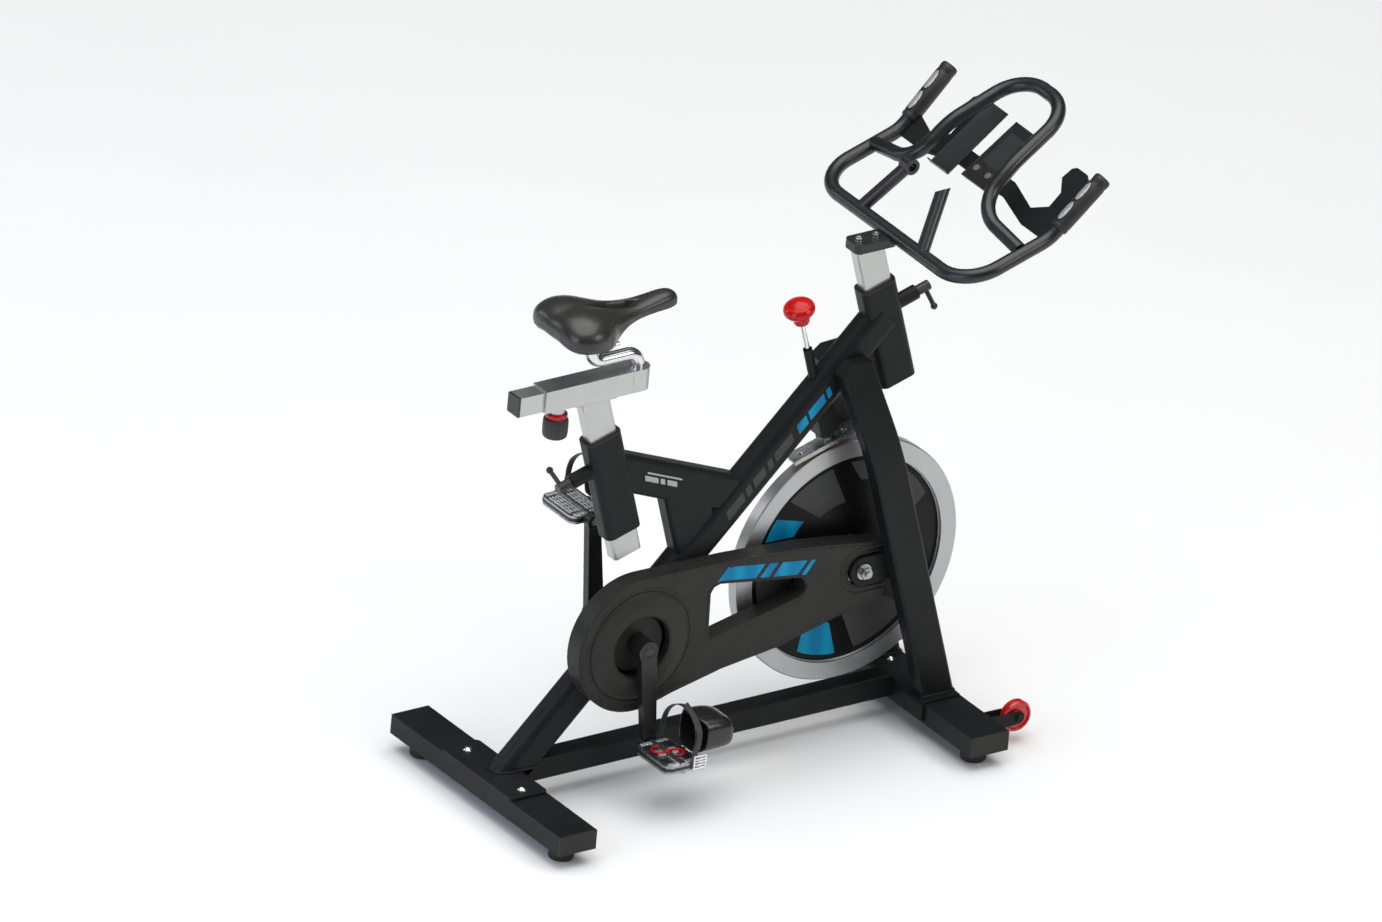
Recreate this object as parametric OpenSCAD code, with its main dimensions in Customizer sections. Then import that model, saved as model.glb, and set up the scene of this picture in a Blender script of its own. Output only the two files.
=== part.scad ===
// Indoor spin bike: welded frame on two stabilisers, belt-driven flywheel, adjustable
// saddle and handlebar, push brake and transport wheels. X points to the front, Y to the
// rider's left, Z up. The floor is Z = 0 and the origin lies under the bike's middle.

/* [Base] */
// Overall length of each stabiliser, with its end caps
base_width = 500; // [420:5:620]
// Fore and aft depth of a stabiliser tube
stabiliser_depth = 74; // [60:1:90]
// Height of a stabiliser tube
stabiliser_height = 35; // [30:1:45]
// Height of the stabilisers' undersides above the floor
ground_gap = 28; // [24:1:40]
// Crank axle back to the middle of the rear stabiliser
rear_reach = 233; // [200:1:290]
// Crank axle forward to the middle of the front stabiliser
front_reach = 598; // [560:1:680]
// Wall of the base tubes
base_wall = 2.5; // [2:0.5:4]
// Thickness of a stabiliser's end cap outside the tube
cap_thickness = 3; // [2:0.5:5]
// Thickness of the mounting plate and bracket
plate_thickness = 5; // [3:0.5:8]
// Length of the rear mounting plate along the stabiliser
rear_plate_width = 208; // [180:2:260]
// Length of the front mounting bracket along the stabiliser
front_plate_width = 216; // [210:2:280]
// Distance between the two bolts of each mounting plate
plate_bolt_spacing = 160; // [140:2:170]
// Distance between the two bolts of the front bracket
bracket_bolt_spacing = 100; // [80:2:110]
// Shank diameter of the plate bolts
bolt_d = 8; // [6:1:10]
// Width of the base beam
beam_width = 40; // [30:1:50]
// Height of the base beam
beam_height = 40; // [30:1:50]
// Height of the base beam's underside above the floor
beam_lift = 38.5; // [34:0.5:50]

/* [Feet and transport wheels] */
// Diameter of a levelling foot
foot_d = 44; // [34:1:56]
// Height of a foot's rubber pad
foot_pad_height = 22; // [12:1:22]
// Diameter of a foot's threaded stem
foot_stem_d = 10; // [8:1:12]
// Stabiliser's end in to the middle of a foot
foot_inset = 45; // [32:1:60]
// Diameter of a transport wheel
wheel_d = 56; // [44:1:60]
// Width of a transport wheel
wheel_width = 16; // [10:1:22]
// Distance between the two transport wheels
wheel_spacing = 356; // [280:2:380]
// Height of the wheels' axles above the floor
wheel_axle_height = 46; // [40:1:50]
// Front stabiliser's front face forward to the wheels' axles
wheel_reach = 62; // [50:1:80]

/* [Frame] */
// Height of the crank axle above the floor
crank_height = 274.5; // [265:0.5:300]
// Angle by which the posts and fork legs lean back from upright
lean_angle = 17; // [15:0.5:19]
// Angle of the main tube above the floor
main_tube_angle = 45.7; // [44:0.1:47]
// Crank axle square to the main tube's centre line, which runs below it
main_tube_offset = 3.6; // [0:0.2:6]
// Depth of the main and top tubes, seen from the side
tube_depth = 66; // [56:1:72]
// Width of the main tube
main_tube_width = 45; // [41:1:50]
// Corner radius of the main tube
main_tube_round = 20; // [14:1:20]
// Width of the top tube
top_tube_width = 38; // [32:1:39]
// Angle by which the top tube falls towards the front
top_tube_fall = 21.5; // [19:0.5:24]
// Place of the top tube's centre line on the seat sleeve, along its axis
top_tube_station = 322; // [312:1:330]
// Width of the gusset under the top tube
gusset_width = 36; // [28:1:38]
// Wall of the frame tubes
frame_wall = 2.5; // [2:0.5:3.5]
// Crank axle forward to the seat post's axis, square to the post
seat_axis_offset = 38; // [30:1:50]
// Crank axle forward to the handlebar post's axis, square to the post
bar_axis_offset = 601; // [590:1:612]
// Lower end of both sleeves, along their axes from the crank axle's level
sleeve_start = 193; // [185:1:200]
// Length of both sleeves
sleeve_length = 195; // [180:1:210]
// Wall of the sleeves
sleeve_wall = 3; // [2:0.5:4]
// Distance between the outsides of the fork legs
fork_width = 188; // [180:1:200]
// Fore and aft depth of a fork leg
leg_depth = 62; // [50:1:70]
// Width of a fork leg
leg_width = 32; // [24:1:36]
// Angle by which the fork legs' upper ends bend inwards
leg_bend = 15.5; // [13:0.5:16.5]
// Height of the fork legs' upper ends above the floor
leg_top = 704; // [690:1:715]

/* [Posts] */
// Fore and aft depth of both posts
post_depth = 54; // [46:1:56]
// Width of both posts
post_width = 28; // [24:1:30]
// Wall of both posts
post_wall = 2; // [1.5:0.5:3]
// Gap between a post and its bush, on each side
post_clearance = 0.3; // [0.2:0.05:0.4]
// Length of the seat post's end below its sleeve
seat_post_tail = 46; // [20:1:60]
// Height of the saddle slider's underside above the floor
slider_height = 735.5; // [720:0.5:760]
// Height of the handlebar post's top above the floor
bar_height = 896; // [880:1:930]
// Length of the threaded boss on each sleeve
boss_length = 38; // [30:1:44]
// Diameter of the threaded boss on each sleeve
boss_d = 26; // [22:1:30]
// Diameter of the clamp screws
screw_d = 10; // [8:1:12]

/* [Saddle] */
// Length of the slider's outer sleeve
slider_length = 176; // [150:1:190]
// Width of the slider's outer sleeve
slider_width = 41; // [38:1:48]
// Height of the slider's outer sleeve
slider_depth = 40; // [38:1:46]
// Width of the sliding beam
beam_slide_width = 32; // [28:1:33]
// Wall of the outer sleeve above and below the beam
slide_wall = 2.2; // [2:0.1:4]
// Crank axle back to the front end of the slider's outer sleeve
slider_front = 33; // [25:1:45]
// Length of the sliding beam behind the outer sleeve
slider_tail = 53; // [50:1:70]
// Diameter of the saddle's chrome stem
stem_d = 22; // [20:1:24]
// Rise of the stem's level run above the sliding beam
stem_rise = 28; // [24:1:40]
// Length of the stem's level run
stem_run = 100; // [80:1:120]
// Length of the saddle
saddle_length = 253; // [245:1:290]
// Width of the saddle
saddle_width = 160; // [150:1:200]
// Height of the saddle's highest point above the floor
saddle_top = 917; // [910:1:925]

/* [Handlebar] */
// Diameter of the handlebar tubes
bar_d = 25; // [22:0.5:28]
// Wall of the handlebar tubes
bar_wall = 2; // [1.5:0.5:2.5]
// Distance between the centre lines of the side arms
bar_width = 440; // [420:2:480]
// Handlebar post forward to the front of the aero loop
loop_reach = 344; // [336:1:352]
// Diameter of the grips
grip_d = 31; // [30:1:36]
// Length of the grips
grip_length = 110; // [90:1:112]
// Thickness of the holder bracket
bracket_thickness = 4; // [3:0.5:5]
// Length of the console
console_length = 127; // [120:1:135]
// Width of the console at its lower end
console_width = 68; // [62:1:72]
// Thickness of the console under its face
console_thickness = 20; // [14:1:24]
// Travel of a console button
button_travel = 1.2; // [0.8:0.1:1.5]

/* [Drive] */
// Diameter of the flywheel
flywheel_d = 442; // [400:1:450]
// Width of the flywheel's rim
rim_width = 25; // [18:1:28]
// Radial depth of the flywheel's thick rim
rim_depth = 31; // [24:1:40]
// Thickness of the flywheel's disc
disc_thickness = 12; // [8:1:14]
// Crank axle forward to the flywheel's axle
flywheel_reach = 444; // [440:1:450]
// Height of the flywheel's axle above the crank axle
flywheel_rise = 42.5; // [35:0.5:50]
// Diameter of the flywheel's axle
axle_d = 12; // [10:1:14]
// Pitch diameter of the crank's pulley
large_pulley_d = 196; // [180:1:200]
// Pitch diameter of the flywheel's pulley
small_pulley_d = 56; // [50:1:60]
// Width of the belt
belt_width = 14; // [10:1:15]
// Thickness of the belt
belt_thickness = 4; // [3:0.5:4.5]
// Length of a crank arm between its axle and its pedal spindle
crank_length = 175; // [165:2.5:180]
// Angle by which the right crank points ahead of straight down
crank_angle = 6; // [0:1:30]
// Distance between the middles of the two crank arms
crank_spread = 158; // [154:1:170]
// Thickness of a crank arm
crank_thickness = 15; // [12:1:16]
// Diameter of the crank axle
crank_axle_d = 17; // [15:1:20]
// Radius of the guard's round end
guard_r = 122; // [118:1:126]
// Wall of the drive guard
guard_wall = 2.5; // [2:0.5:3]
// Radial gap of every shaft that turns in a bearing
running_clearance = 0.05; // [0.03:0.01:0.08]

/* [Pedals] */
// Length of a pedal body, fore and aft
pedal_length = 68; // [60:1:80]
// Width of a pedal body
pedal_width = 96; // [85:1:104]
// Height of a pedal body
pedal_height = 14; // [12:1:20]
// Diameter of a pedal spindle
spindle_d = 12; // [10:1:13]
// Width of a toe cage
cage_width = 80; // [70:1:84]

/* [Brake] */
// Crank axle forward to the brake rod's axis, square to the rod
brake_offset = 452.5; // [440:0.5:460]
// Diameter of the brake rod
brake_rod_d = 8; // [6:0.5:10]
// Gap between the released brake pad and the rim
brake_gap = 6.5; // [4:0.5:9]
// Length of the brake pad
pad_length = 132; // [100:2:140]
// Diameter of the brake knob
brake_knob_d = 55; // [44:1:64]

/* [Hidden] */
$fn = 72;

// Colours of the finishes
satin = "#26282a";
grey = "#b4b6b3";
chrome = "#d8dadc";
plastic = "#1b1c1d";
knob_red = "#c40f0f";
vinyl = "#2a2a2b";
steel = "#9a9c9e";

// A hair's length by which cutting bodies pass the faces that they cut
cut = 1;
// Gap between soft or moving pieces and what carries them
seat_gap = 0.3;
// Side gap between a turning piece and the fixed piece beside it
running_gap = 0.5;
// Length and height of the bead where a bend meets a straight run
bead_length = 3;
bead_height = 0.15;

// Base
stab_top = ground_gap + stabiliser_height;
plate_top = stab_top + plate_thickness;
tube_length = base_width - 2 * cap_thickness;
bolt_hole = bolt_d + 0.6;
dome_r = bolt_d;
dome_height = 4.5;
nut_height = 7;
foot_gap = 0.3;
foot_nut_r = 11;
foot_y = base_width / 2 - foot_inset;
rear_face_x = -rear_reach + stabiliser_depth / 2;
front_face_x = front_reach - stabiliser_depth / 2 - plate_thickness;

// Frame
seat_t = seat_axis_offset;
bar_t = bar_axis_offset;
sleeve_end = sleeve_start + sleeve_length;
screw_hole = screw_d + 2 * seat_gap;
bush_wall_ends = 3.7;
bush_wall_sides = 2.7;
bush_flange = 3;
sleeve_depth = post_depth + 2 * (post_clearance + bush_wall_ends + sleeve_wall);
sleeve_width = post_width + 2 * (post_clearance + bush_wall_sides + sleeve_wall);
sleeve_round = 12;
post_round = 6;
sleeve_bore_depth = sleeve_depth - 2 * sleeve_wall;
sleeve_bore_width = sleeve_width - 2 * sleeve_wall;
boss_station = sleeve_start + 138;
top_tube_round = 10;
main_slope = tan(main_tube_angle - lean_angle);
top_slope = tan(top_tube_fall + lean_angle);
main_tube_low = main_tube_offset / cos(main_tube_angle - lean_angle);
top_join_t = (top_tube_station + seat_t * top_slope + main_tube_low) / (top_slope + main_slope);
top_tube_reach = (top_join_t - seat_t) / cos(top_tube_fall + lean_angle);
leg_t = front_reach * cos(lean_angle) + (plate_top - crank_height) * sin(lean_angle);
leg_y = (fork_width - leg_width) / 2;
leg_inner_y = leg_y - leg_width / 2;
leg_straight_end = 70;
leg_bend_r = 400;
leg_shy = 12;
leg_round = 6;
shell_r = 23;
shell_half = 36;
bearing_r = 17.5;
bearing_width = 11;

// Drive, with Y values on the right-hand side of the bike
flywheel_r = flywheel_d / 2;
axle_r = axle_d / 2;
belt_y = -37;
belt_half = belt_width / 2;
pulley_half = belt_half + 1;
pulley_end = pulley_half + 1 - belt_y + seat_gap;
guard_back_y = -main_tube_width / 2;
guard_seam_y = -38;
guard_face_y = -57;
guard_dome_height = 10;
guard_hole_r = 55;
dropout_thickness = 8;
dropout_out = leg_inner_y + 1;
dropout_r = 25;
hub_r = 24;
hub_flange_r = 40;
hub_half = 28;
hub_bolt_r = (hub_r + hub_flange_r) / 2;
hub_bearing_r = 14;
hub_bearing_width = 10;
crank_y = crank_spread / 2;
crank_r = crank_axle_d / 2;
pedal_drop = [crank_length * sin(crank_angle), -crank_length * cos(crank_angle)];
spindle_r = spindle_d / 2;
crank_out = crank_y + crank_thickness / 2;
pedal_y = crank_out + 3 + pedal_width / 2;

// Brake, in the leaning frame
flywheel_w = -flywheel_reach * sin(lean_angle) + flywheel_rise * cos(lean_angle);
rim_top_w = flywheel_w + flywheel_r;
pad_w = rim_top_w + brake_gap;
pad_thickness = 6;
holder_thickness = 3;
pad_centre_t = brake_offset - 9;
brake_knob_w = 416;
brake_sleeve_top = 336;
brake_rod_r = brake_rod_d / 2;
brake_block_bottom = 166;
brake_block_top = 204;
brake_block_size = 34;
spring_floor = 226;
spring_top = 314;

// Saddle slider
slide_gap = 0.3;
slider_mid = slider_height + slider_depth / 2;
beam_slide_height = slider_depth - 2 * (slide_wall + slide_gap);
slider_rear = -slider_front - slider_length;
beam_low = slider_mid - beam_slide_height / 2;
stem_x = -slider_front + 21;
stem_level = slider_mid + beam_slide_height / 2 + stem_rise;
saddle_front_x = 53;
saddle_rear_x = saddle_front_x - saddle_length;
saddle_under = stem_level + 41;
knob_x = slider_rear + 38;

// Handlebar, measured from the middle of the post's top face
clamp_w = (bar_height - crank_height - bar_t * sin(lean_angle)) / cos(lean_angle);
clamp_x = bar_t * cos(lean_angle) - clamp_w * sin(lean_angle);
bar_r = bar_d / 2;
bar_half = bar_width / 2;
clamp_plate_thickness = 16;
base_bar = [45, 0, 17];
bar_tip = [305, bar_half + 6, 162];
bar_heel = [210, bar_half, 70];
bar_path = [bar_tip, bar_heel, [base_bar[0], bar_half, base_bar[2]],
    [base_bar[0], -bar_half, base_bar[2]], [bar_heel[0], -bar_half, bar_heel[2]],
    [bar_tip[0], -bar_tip[1], bar_tip[2]]];
bar_bends = [70, 68, 68, 70];
loop_path = [[157, bar_half - 6, 58], [150, 96, 82], [216, 90, 145], [loop_reach, 68, 212],
    [loop_reach, -68, 212], [216, -90, 145], [150, -96, 82], [157, -bar_half + 6, 58]];
loop_bends = [60, 150, 67, 67, 150, 60];
stub_d = 23;
stub_foot_y = 92;
stub_tip = [109, 50, 105];
stub_slant = 35;
stub_ring_r = 14;
stub_ring_bore = 7.5;
stub_ring_length = 22;
holder_origin = [208, 0, 71.5];
holder_tilt = 37.4;
holder_drop = 1.5;
wing_reach = bar_half - 4;
console_face = 4;
button_well = 4;
button_proud = 2;
button_p = 24;
button_y = 17;
button_r = 6;
button_gap = 0.3;

// The bike's ends set the origin midway between them
front_end_x = clamp_x + loop_reach + bar_r;
rear_end_x = -rear_reach - stabiliser_depth / 2;
x_shift = -(front_end_x + rear_end_x) / 2;

// ---- Helpers ----

// Children are drawn with X from the crank axle and Z from the floor
module in_place() {
    translate([x_shift, 0, 0]) children();
}

// Children are drawn with X and Z from the crank axle
module at_crank() {
    in_place() translate([0, 0, crank_height]) children();
}

// Children are drawn about the flywheel's axle
module at_flywheel() {
    at_crank() translate([flywheel_reach, 0, flywheel_rise]) children();
}

// Children are drawn in a frame that leans back with the posts
module leaning() {
    at_crank() rotate([0, -lean_angle, 0]) children();
}

// Children are drawn along the threaded boss of a sleeve, from the sleeve's axis
module at_boss(t, side) {
    leaning() translate([t, 0, boss_station]) rotate([0, side * 90, 0]) children();
}

// Children are drawn from the middle of the handlebar post's top face
module at_clamp() {
    in_place() translate([clamp_x, 0, bar_height]) children();
}

// Children are drawn with the XY plane laid on the holder's tilted plane
module on_holder() {
    at_clamp() translate(holder_origin) rotate([0, -holder_tilt, 0]) children();
}

// A rectangle with round corners, centred
module round_rect(w, h, r) {
    square([w - 2 * r, h], center = true);
    square([w, h - 2 * r], center = true);
    for (x = [-1, 1], y = [-1, 1])
        translate([x * (w / 2 - r), y * (h / 2 - r)]) circle(r);
}

// A round-cornered tube's section with a wall
module tube_section(w, h, r, wall) {
    difference() {
        round_rect(w, h, r);
        round_rect(w - 2 * wall, h - 2 * wall, r - wall + 0.5);
    }
}

// A shaft along Y between two Y values
module y_shaft(r, y0, y1) {
    translate([0, y0, 0]) rotate([-90, 0, 0]) cylinder(r = r, h = y1 - y0);
}

// A ring along Y between two Y values
module y_ring(r, bore, y0, y1) {
    difference() {
        y_shaft(r, y0, y1);
        y_shaft(bore, y0 - cut, y1 + cut);
    }
}

// A flat outline drawn in X and Z, thickened along Y
module y_slab(y0, y1) {
    translate([0, y1, 0]) rotate([90, 0, 0]) linear_extrude(y1 - y0) children();
}

function unit(v) = v / norm(v);
function turn_at(a, b, c) = acos(unit(b - a) * unit(c - b));
function bend_reach(a, b, c, r) = r * tan(turn_at(a, b, c) / 2);

// A profile's upper edge and its mirror image, in one ring of points
function both_sides(edge) = concat(edge,
    [for (i = [len(edge) - 1 : -1 : 0]) [edge[i][0], -edge[i][1]]]);

// A straight round bar between two points
module rod(a, b, r) {
    v = b - a;
    translate(a) rotate([0, acos(v[2] / norm(v)), atan2(v[1], v[0])])
        cylinder(r = r, h = norm(v));
}

// The round bend at b on the way from a to c
module elbow(a, b, c, bend_r, r) {
    turn = turn_at(a, b, c);
    ahead = unit(b - a);
    start = b - ahead * bend_reach(a, b, c, bend_r);
    inward = unit(unit(c - b) - ahead * (unit(c - b) * ahead));
    centre = start + inward * bend_r;
    side = cross(-inward, ahead);
    multmatrix([[-inward[0], ahead[0], side[0], centre[0]],
        [-inward[1], ahead[1], side[1], centre[1]], [-inward[2], ahead[2], side[2], centre[2]],
        [0, 0, 0, 1]])
        rotate_extrude(angle = turn) translate([bend_r, 0]) circle(r);
}

// A round bar along a path with a bend radius at each inner point. Each straight run
// stops just short of its bends, and a slight bead joins the two.
module bent_bar(path, bends, r) {
    last = len(path) - 1;
    for (i = [0 : last - 1]) {
        ahead = unit(path[i + 1] - path[i]);
        from = i == 0 ? path[i]
            : path[i] + ahead * bend_reach(path[i - 1], path[i], path[i + 1], bends[i - 1]);
        to = i == last - 1 ? path[last]
            : path[i + 1] - ahead * bend_reach(path[i], path[i + 1], path[i + 2], bends[i]);
        rod(i == 0 ? from : from + ahead * bead_length / 4,
            i == last - 1 ? to : to - ahead * bead_length / 4, r);
        if (i > 0) rod(from - ahead * bead_length / 2, from + ahead * bead_length / 2,
            r + bead_height);
        if (i < last - 1) rod(to - ahead * bead_length / 2, to + ahead * bead_length / 2,
            r + bead_height);
    }
    for (i = [1 : last - 1])
        elbow(path[i - 1], path[i], path[i + 1], bends[i - 1], r);
}

module bent_tube(path, bends, r, wall) {
    difference() {
        bent_bar(path, bends, r);
        bent_bar(path, bends, r - wall);
    }
}

// The outline round the two pulleys' circles in X and Z, as a belt lies
module belt_outline(r1, r2) {
    steps = 72;
    reach = norm([flywheel_reach, flywheel_rise]);
    tilt = atan2(flywheel_rise, flywheel_reach);
    open = acos((r1 - r2) / reach);
    rear = [for (i = [0 : steps]) let (a = tilt + open + (360 - 2 * open) * i / steps)
        r1 * [cos(a), sin(a)]];
    front = [for (i = [0 : steps]) let (a = tilt - open + 2 * open * i / steps)
        [flywheel_reach, flywheel_rise] + r2 * [cos(a), sin(a)]];
    polygon(concat(rear, front));
}

// ---- Base ----

module stabiliser(x, bolt_spacing) {
    in_place() translate([x, 0, ground_gap]) difference() {
        translate([0, 0, stabiliser_height / 2]) difference() {
            cube([stabiliser_depth, tube_length, stabiliser_height], center = true);
            cube([stabiliser_depth - 2 * base_wall, tube_length + cut,
                stabiliser_height - 2 * base_wall], center = true);
        }
        for (side = [-1, 1]) {
            translate([0, side * bolt_spacing / 2, -cut])
                cylinder(d = bolt_hole, h = stabiliser_height + 2 * cut);
            translate([0, side * foot_y, -cut])
                cylinder(d = foot_stem_d + 2 * foot_gap, h = base_wall + 2 * cut);
        }
    }
}

module rear_stabiliser() color(satin) stabiliser(-rear_reach, plate_bolt_spacing);

module front_stabiliser() color(satin) stabiliser(front_reach, bracket_bolt_spacing);

module stabiliser_caps() {
    plug_length = 12;
    color(plastic) for (x = [-rear_reach, front_reach], side = [-1, 1])
        in_place() translate([x, side * tube_length / 2, ground_gap + stabiliser_height / 2]) {
            translate([0, side * cap_thickness / 2, 0])
                cube([stabiliser_depth, cap_thickness, stabiliser_height], center = true);
            translate([0, -side * plug_length / 2, 0])
                cube([stabiliser_depth - 2 * base_wall, plug_length,
                    stabiliser_height - 2 * base_wall], center = true);
        }
}

module rear_mount_plate() {
    corner = 8;
    color(satin) in_place() translate([-rear_reach, 0, stab_top])
        linear_extrude(plate_thickness) difference() {
            round_rect(stabiliser_depth, rear_plate_width, corner);
            for (side = [-1, 1])
                translate([0, side * plate_bolt_spacing / 2]) circle(d = bolt_hole);
        }
}

// A plate bent over the stabiliser's top and rear face
module front_mount_bracket() {
    corner = 8;
    flange_drop = 30;
    depth = stabiliser_depth + plate_thickness - 4;
    color(satin) in_place() difference() {
        translate([front_face_x, 0, 0]) y_slab(-front_plate_width / 2, front_plate_width / 2)
            difference() {
                union() {
                    translate([corner, stab_top - flange_drop])
                        square([depth - corner, flange_drop + plate_thickness]);
                    translate([0, stab_top - flange_drop])
                        square([corner + cut, flange_drop + plate_thickness - corner]);
                    translate([corner, plate_top - corner]) circle(corner);
                }
                translate([plate_thickness, stab_top - flange_drop - cut])
                    square([depth, flange_drop + cut]);
            }
        for (side = [-1, 1])
            translate([front_reach, side * bracket_bolt_spacing / 2, stab_top - cut])
                cylinder(d = bolt_hole, h = plate_thickness + 2 * cut);
    }
}

// A domed bolt through plate and stabiliser with its nut underneath
module mount_bolt() {
    shank = plate_thickness + stabiliser_height + nut_height + 2;
    translate([0, 0, -shank]) cylinder(d = bolt_d, h = shank);
    difference() {
        ball_r = (dome_r * dome_r + dome_height * dome_height) / (2 * dome_height);
        translate([0, 0, dome_height - ball_r]) sphere(ball_r);
        translate([0, 0, -2 * ball_r]) cube(4 * ball_r, center = true);
    }
    translate([0, 0, -plate_thickness - stabiliser_height - nut_height])
        cylinder(r = dome_r, h = nut_height, $fn = 6);
}

module mount_bolts() {
    color(chrome) in_place() for (side = [-1, 1]) {
        translate([-rear_reach, side * plate_bolt_spacing / 2, plate_top]) mount_bolt();
        translate([front_reach, side * bracket_bolt_spacing / 2, plate_top]) mount_bolt();
    }
}

module base_beam() {
    corner = 4;
    length = front_face_x - rear_face_x;
    color(satin) difference() {
        in_place() translate([rear_face_x, 0, beam_lift + beam_height / 2])
            rotate([0, 90, 0]) linear_extrude(length)
                tube_section(beam_height, beam_width, corner, base_wall);
        main_tube_body(0);
    }
}

// ---- Welded frame ----

// The main tube's outside, inset by a wall
module main_tube_body(inset) {
    rise = sin(main_tube_angle);
    foot = (crank_height - stab_top) / rise;
    reach = bar_t / cos(main_tube_angle - lean_angle);
    at_crank() rotate([0, 90 - main_tube_angle, 0])
        translate([main_tube_offset, 0, -foot - tube_depth])
            linear_extrude(foot + tube_depth + reach)
                round_rect(tube_depth - 2 * inset, main_tube_width - 2 * inset,
                    main_tube_round - inset);
}

module sleeve_body(t) {
    leaning() translate([t, 0, sleeve_start]) linear_extrude(sleeve_length)
        round_rect(sleeve_depth, sleeve_width, sleeve_round);
}

module main_tube() {
    color(satin) difference() {
        main_tube_body(0);
        main_tube_body(frame_wall);
        in_place() translate([-rear_reach - 200, -100, plate_top - 200]) cube([600, 200, 200]);
        sleeve_body(bar_t);
        at_crank() y_shaft(shell_r, -100, 100);
        brake_sleeve_body();
    }
}

// A sleeve with its threaded boss on the rear (-1) or front (+1) face
module sleeve(t, side) {
    boss = sleeve_depth / 2 + boss_length;
    difference() {
        union() {
            sleeve_body(t);
            at_boss(t, side) cylinder(d = boss_d, h = boss);
        }
        leaning() translate([t, 0, sleeve_start - cut]) linear_extrude(sleeve_length + 2 * cut)
            round_rect(sleeve_bore_depth, sleeve_bore_width, sleeve_round - sleeve_wall);
        at_boss(t, side) cylinder(d = screw_hole, h = boss + cut);
    }
}

module seat_sleeve() color(satin) sleeve(seat_t, -1);

module head_sleeve() color(satin) sleeve(bar_t, 1);

module top_tube_body(inset) {
    leaning() translate([seat_t, 0, top_tube_station])
        rotate([0, 90 + top_tube_fall + lean_angle, 0]) linear_extrude(top_tube_reach)
            round_rect(tube_depth - 2 * inset, top_tube_width - 2 * inset, top_tube_round - inset);
}

// The top tube with the gusset that fills the corner behind the main tube
module top_tube() {
    gusset_t = 125;
    gusset_depth = 85;
    gusset_low = 83;
    gusset_high = 222;
    color(satin) {
        difference() {
            top_tube_body(0);
            top_tube_body(frame_wall);
            sleeve_body(seat_t);
            main_tube_body(0);
        }
        difference() {
            leaning() translate([gusset_t + gusset_depth / 2, 0, gusset_low])
                linear_extrude(gusset_high - gusset_low)
                    tube_section(gusset_depth, gusset_width, 8, frame_wall);
            top_tube_body(0);
            main_tube_body(0);
        }
    }
}

// A leg's outside, inset by a wall
module leg_body(side, inset) {
    low = -420;
    nip = bead_length / 4;
    difference() {
        leaning() translate([leg_t, side * leg_y, 0]) {
            translate([0, 0, low]) linear_extrude(leg_straight_end - nip - low)
                leg_section(inset);
            translate([0, 0, leg_straight_end]) leg_bead(inset);
            translate([0, -side * leg_bend_r, leg_straight_end])
                rotate([90, 0, side * 90]) rotate_extrude(angle = leg_bend)
                    translate([leg_bend_r, 0]) rotate(90) leg_section(inset);
            translate([0, -side * leg_bend_r, leg_straight_end]) rotate([side * leg_bend, 0, 0])
                translate([0, side * leg_bend_r, 0]) {
                    leg_bead(inset);
                    translate([0, 0, nip]) linear_extrude(200) leg_section(inset);
                }
        }
        in_place() translate([0, -200, leg_top - inset]) cube([800, 400, 300]);
        at_crank() rotate([0, 90 - main_tube_angle, 0])
            translate([main_tube_offset - tube_depth / 2 + leg_shy + inset - 300, -200, 0])
                cube([300, 400, 900]);
    }
}

// The slight bead where a leg's bend meets a straight run
module leg_bead(inset) {
    translate([0, 0, -bead_length / 2]) linear_extrude(bead_length)
        leg_section(inset - bead_height);
}

module leg_section(inset) {
    round_rect(leg_depth - 2 * inset, leg_width - 2 * inset, leg_round - inset);
}

// A fork leg with the slotted plate that holds the flywheel's axle
module fork_leg(side) {
    plate_in = leg_inner_y - dropout_thickness;
    plate_reach = 90;
    slot = 8;
    slot_r = axle_r + 0.2;
    difference() {
        union() {
            difference() {
                leg_body(side, 0);
                leg_body(side, frame_wall);
                in_place() translate([front_reach - 150, -150, plate_top - 200])
                    cube([300, 300, 200]);
            }
            at_flywheel()
                y_slab(side > 0 ? plate_in : -dropout_out, side > 0 ? dropout_out : -plate_in)
                    union() {
                        circle(dropout_r);
                        translate([0, -dropout_r]) square([plate_reach, 2 * dropout_r]);
                    }
        }
        main_tube_body(0);
        at_flywheel() {
            y_shaft(slot_r, -100, 100);
            translate([-slot, 0, 0]) y_shaft(slot_r, -100, 100);
            translate([-slot, -100, -slot_r]) cube([slot, 200, 2 * slot_r]);
        }
    }
}

module fork_leg_right() color(satin) fork_leg(-1);

module fork_leg_left() color(satin) fork_leg(1);

// The crank axle's housing, welded through the main tube, with its two bearings
module bottom_bracket() {
    at_crank() {
        color(satin) difference() {
            y_ring(shell_r, crank_r + 3, -shell_half, shell_half);
            for (side = [-1, 1])
                translate([0, side * shell_half, 0])
                    y_shaft(bearing_r, -bearing_width, bearing_width);
        }
        color(steel) for (side = [-1, 1])
            translate([0, side * (shell_half - bearing_width / 2), 0])
                y_ring(bearing_r, crank_r + running_clearance, -bearing_width / 2,
                    bearing_width / 2);
    }
}

module post_bush(t, side) {
    difference() {
        leaning() translate([t, 0, 0]) difference() {
            union() {
                translate([0, 0, sleeve_start + 10]) linear_extrude(sleeve_length - 10)
                    round_rect(sleeve_bore_depth, sleeve_bore_width, sleeve_round - sleeve_wall);
                translate([0, 0, sleeve_end]) linear_extrude(bush_flange)
                    round_rect(sleeve_depth, sleeve_width, sleeve_round);
            }
            translate([0, 0, sleeve_start - cut]) linear_extrude(sleeve_length + 2 * bush_flange)
                round_rect(post_depth + 2 * post_clearance, post_width + 2 * post_clearance,
                    post_round + post_clearance);
        }
        at_boss(t, side) cylinder(d = screw_hole, h = sleeve_depth);
    }
}

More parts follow.
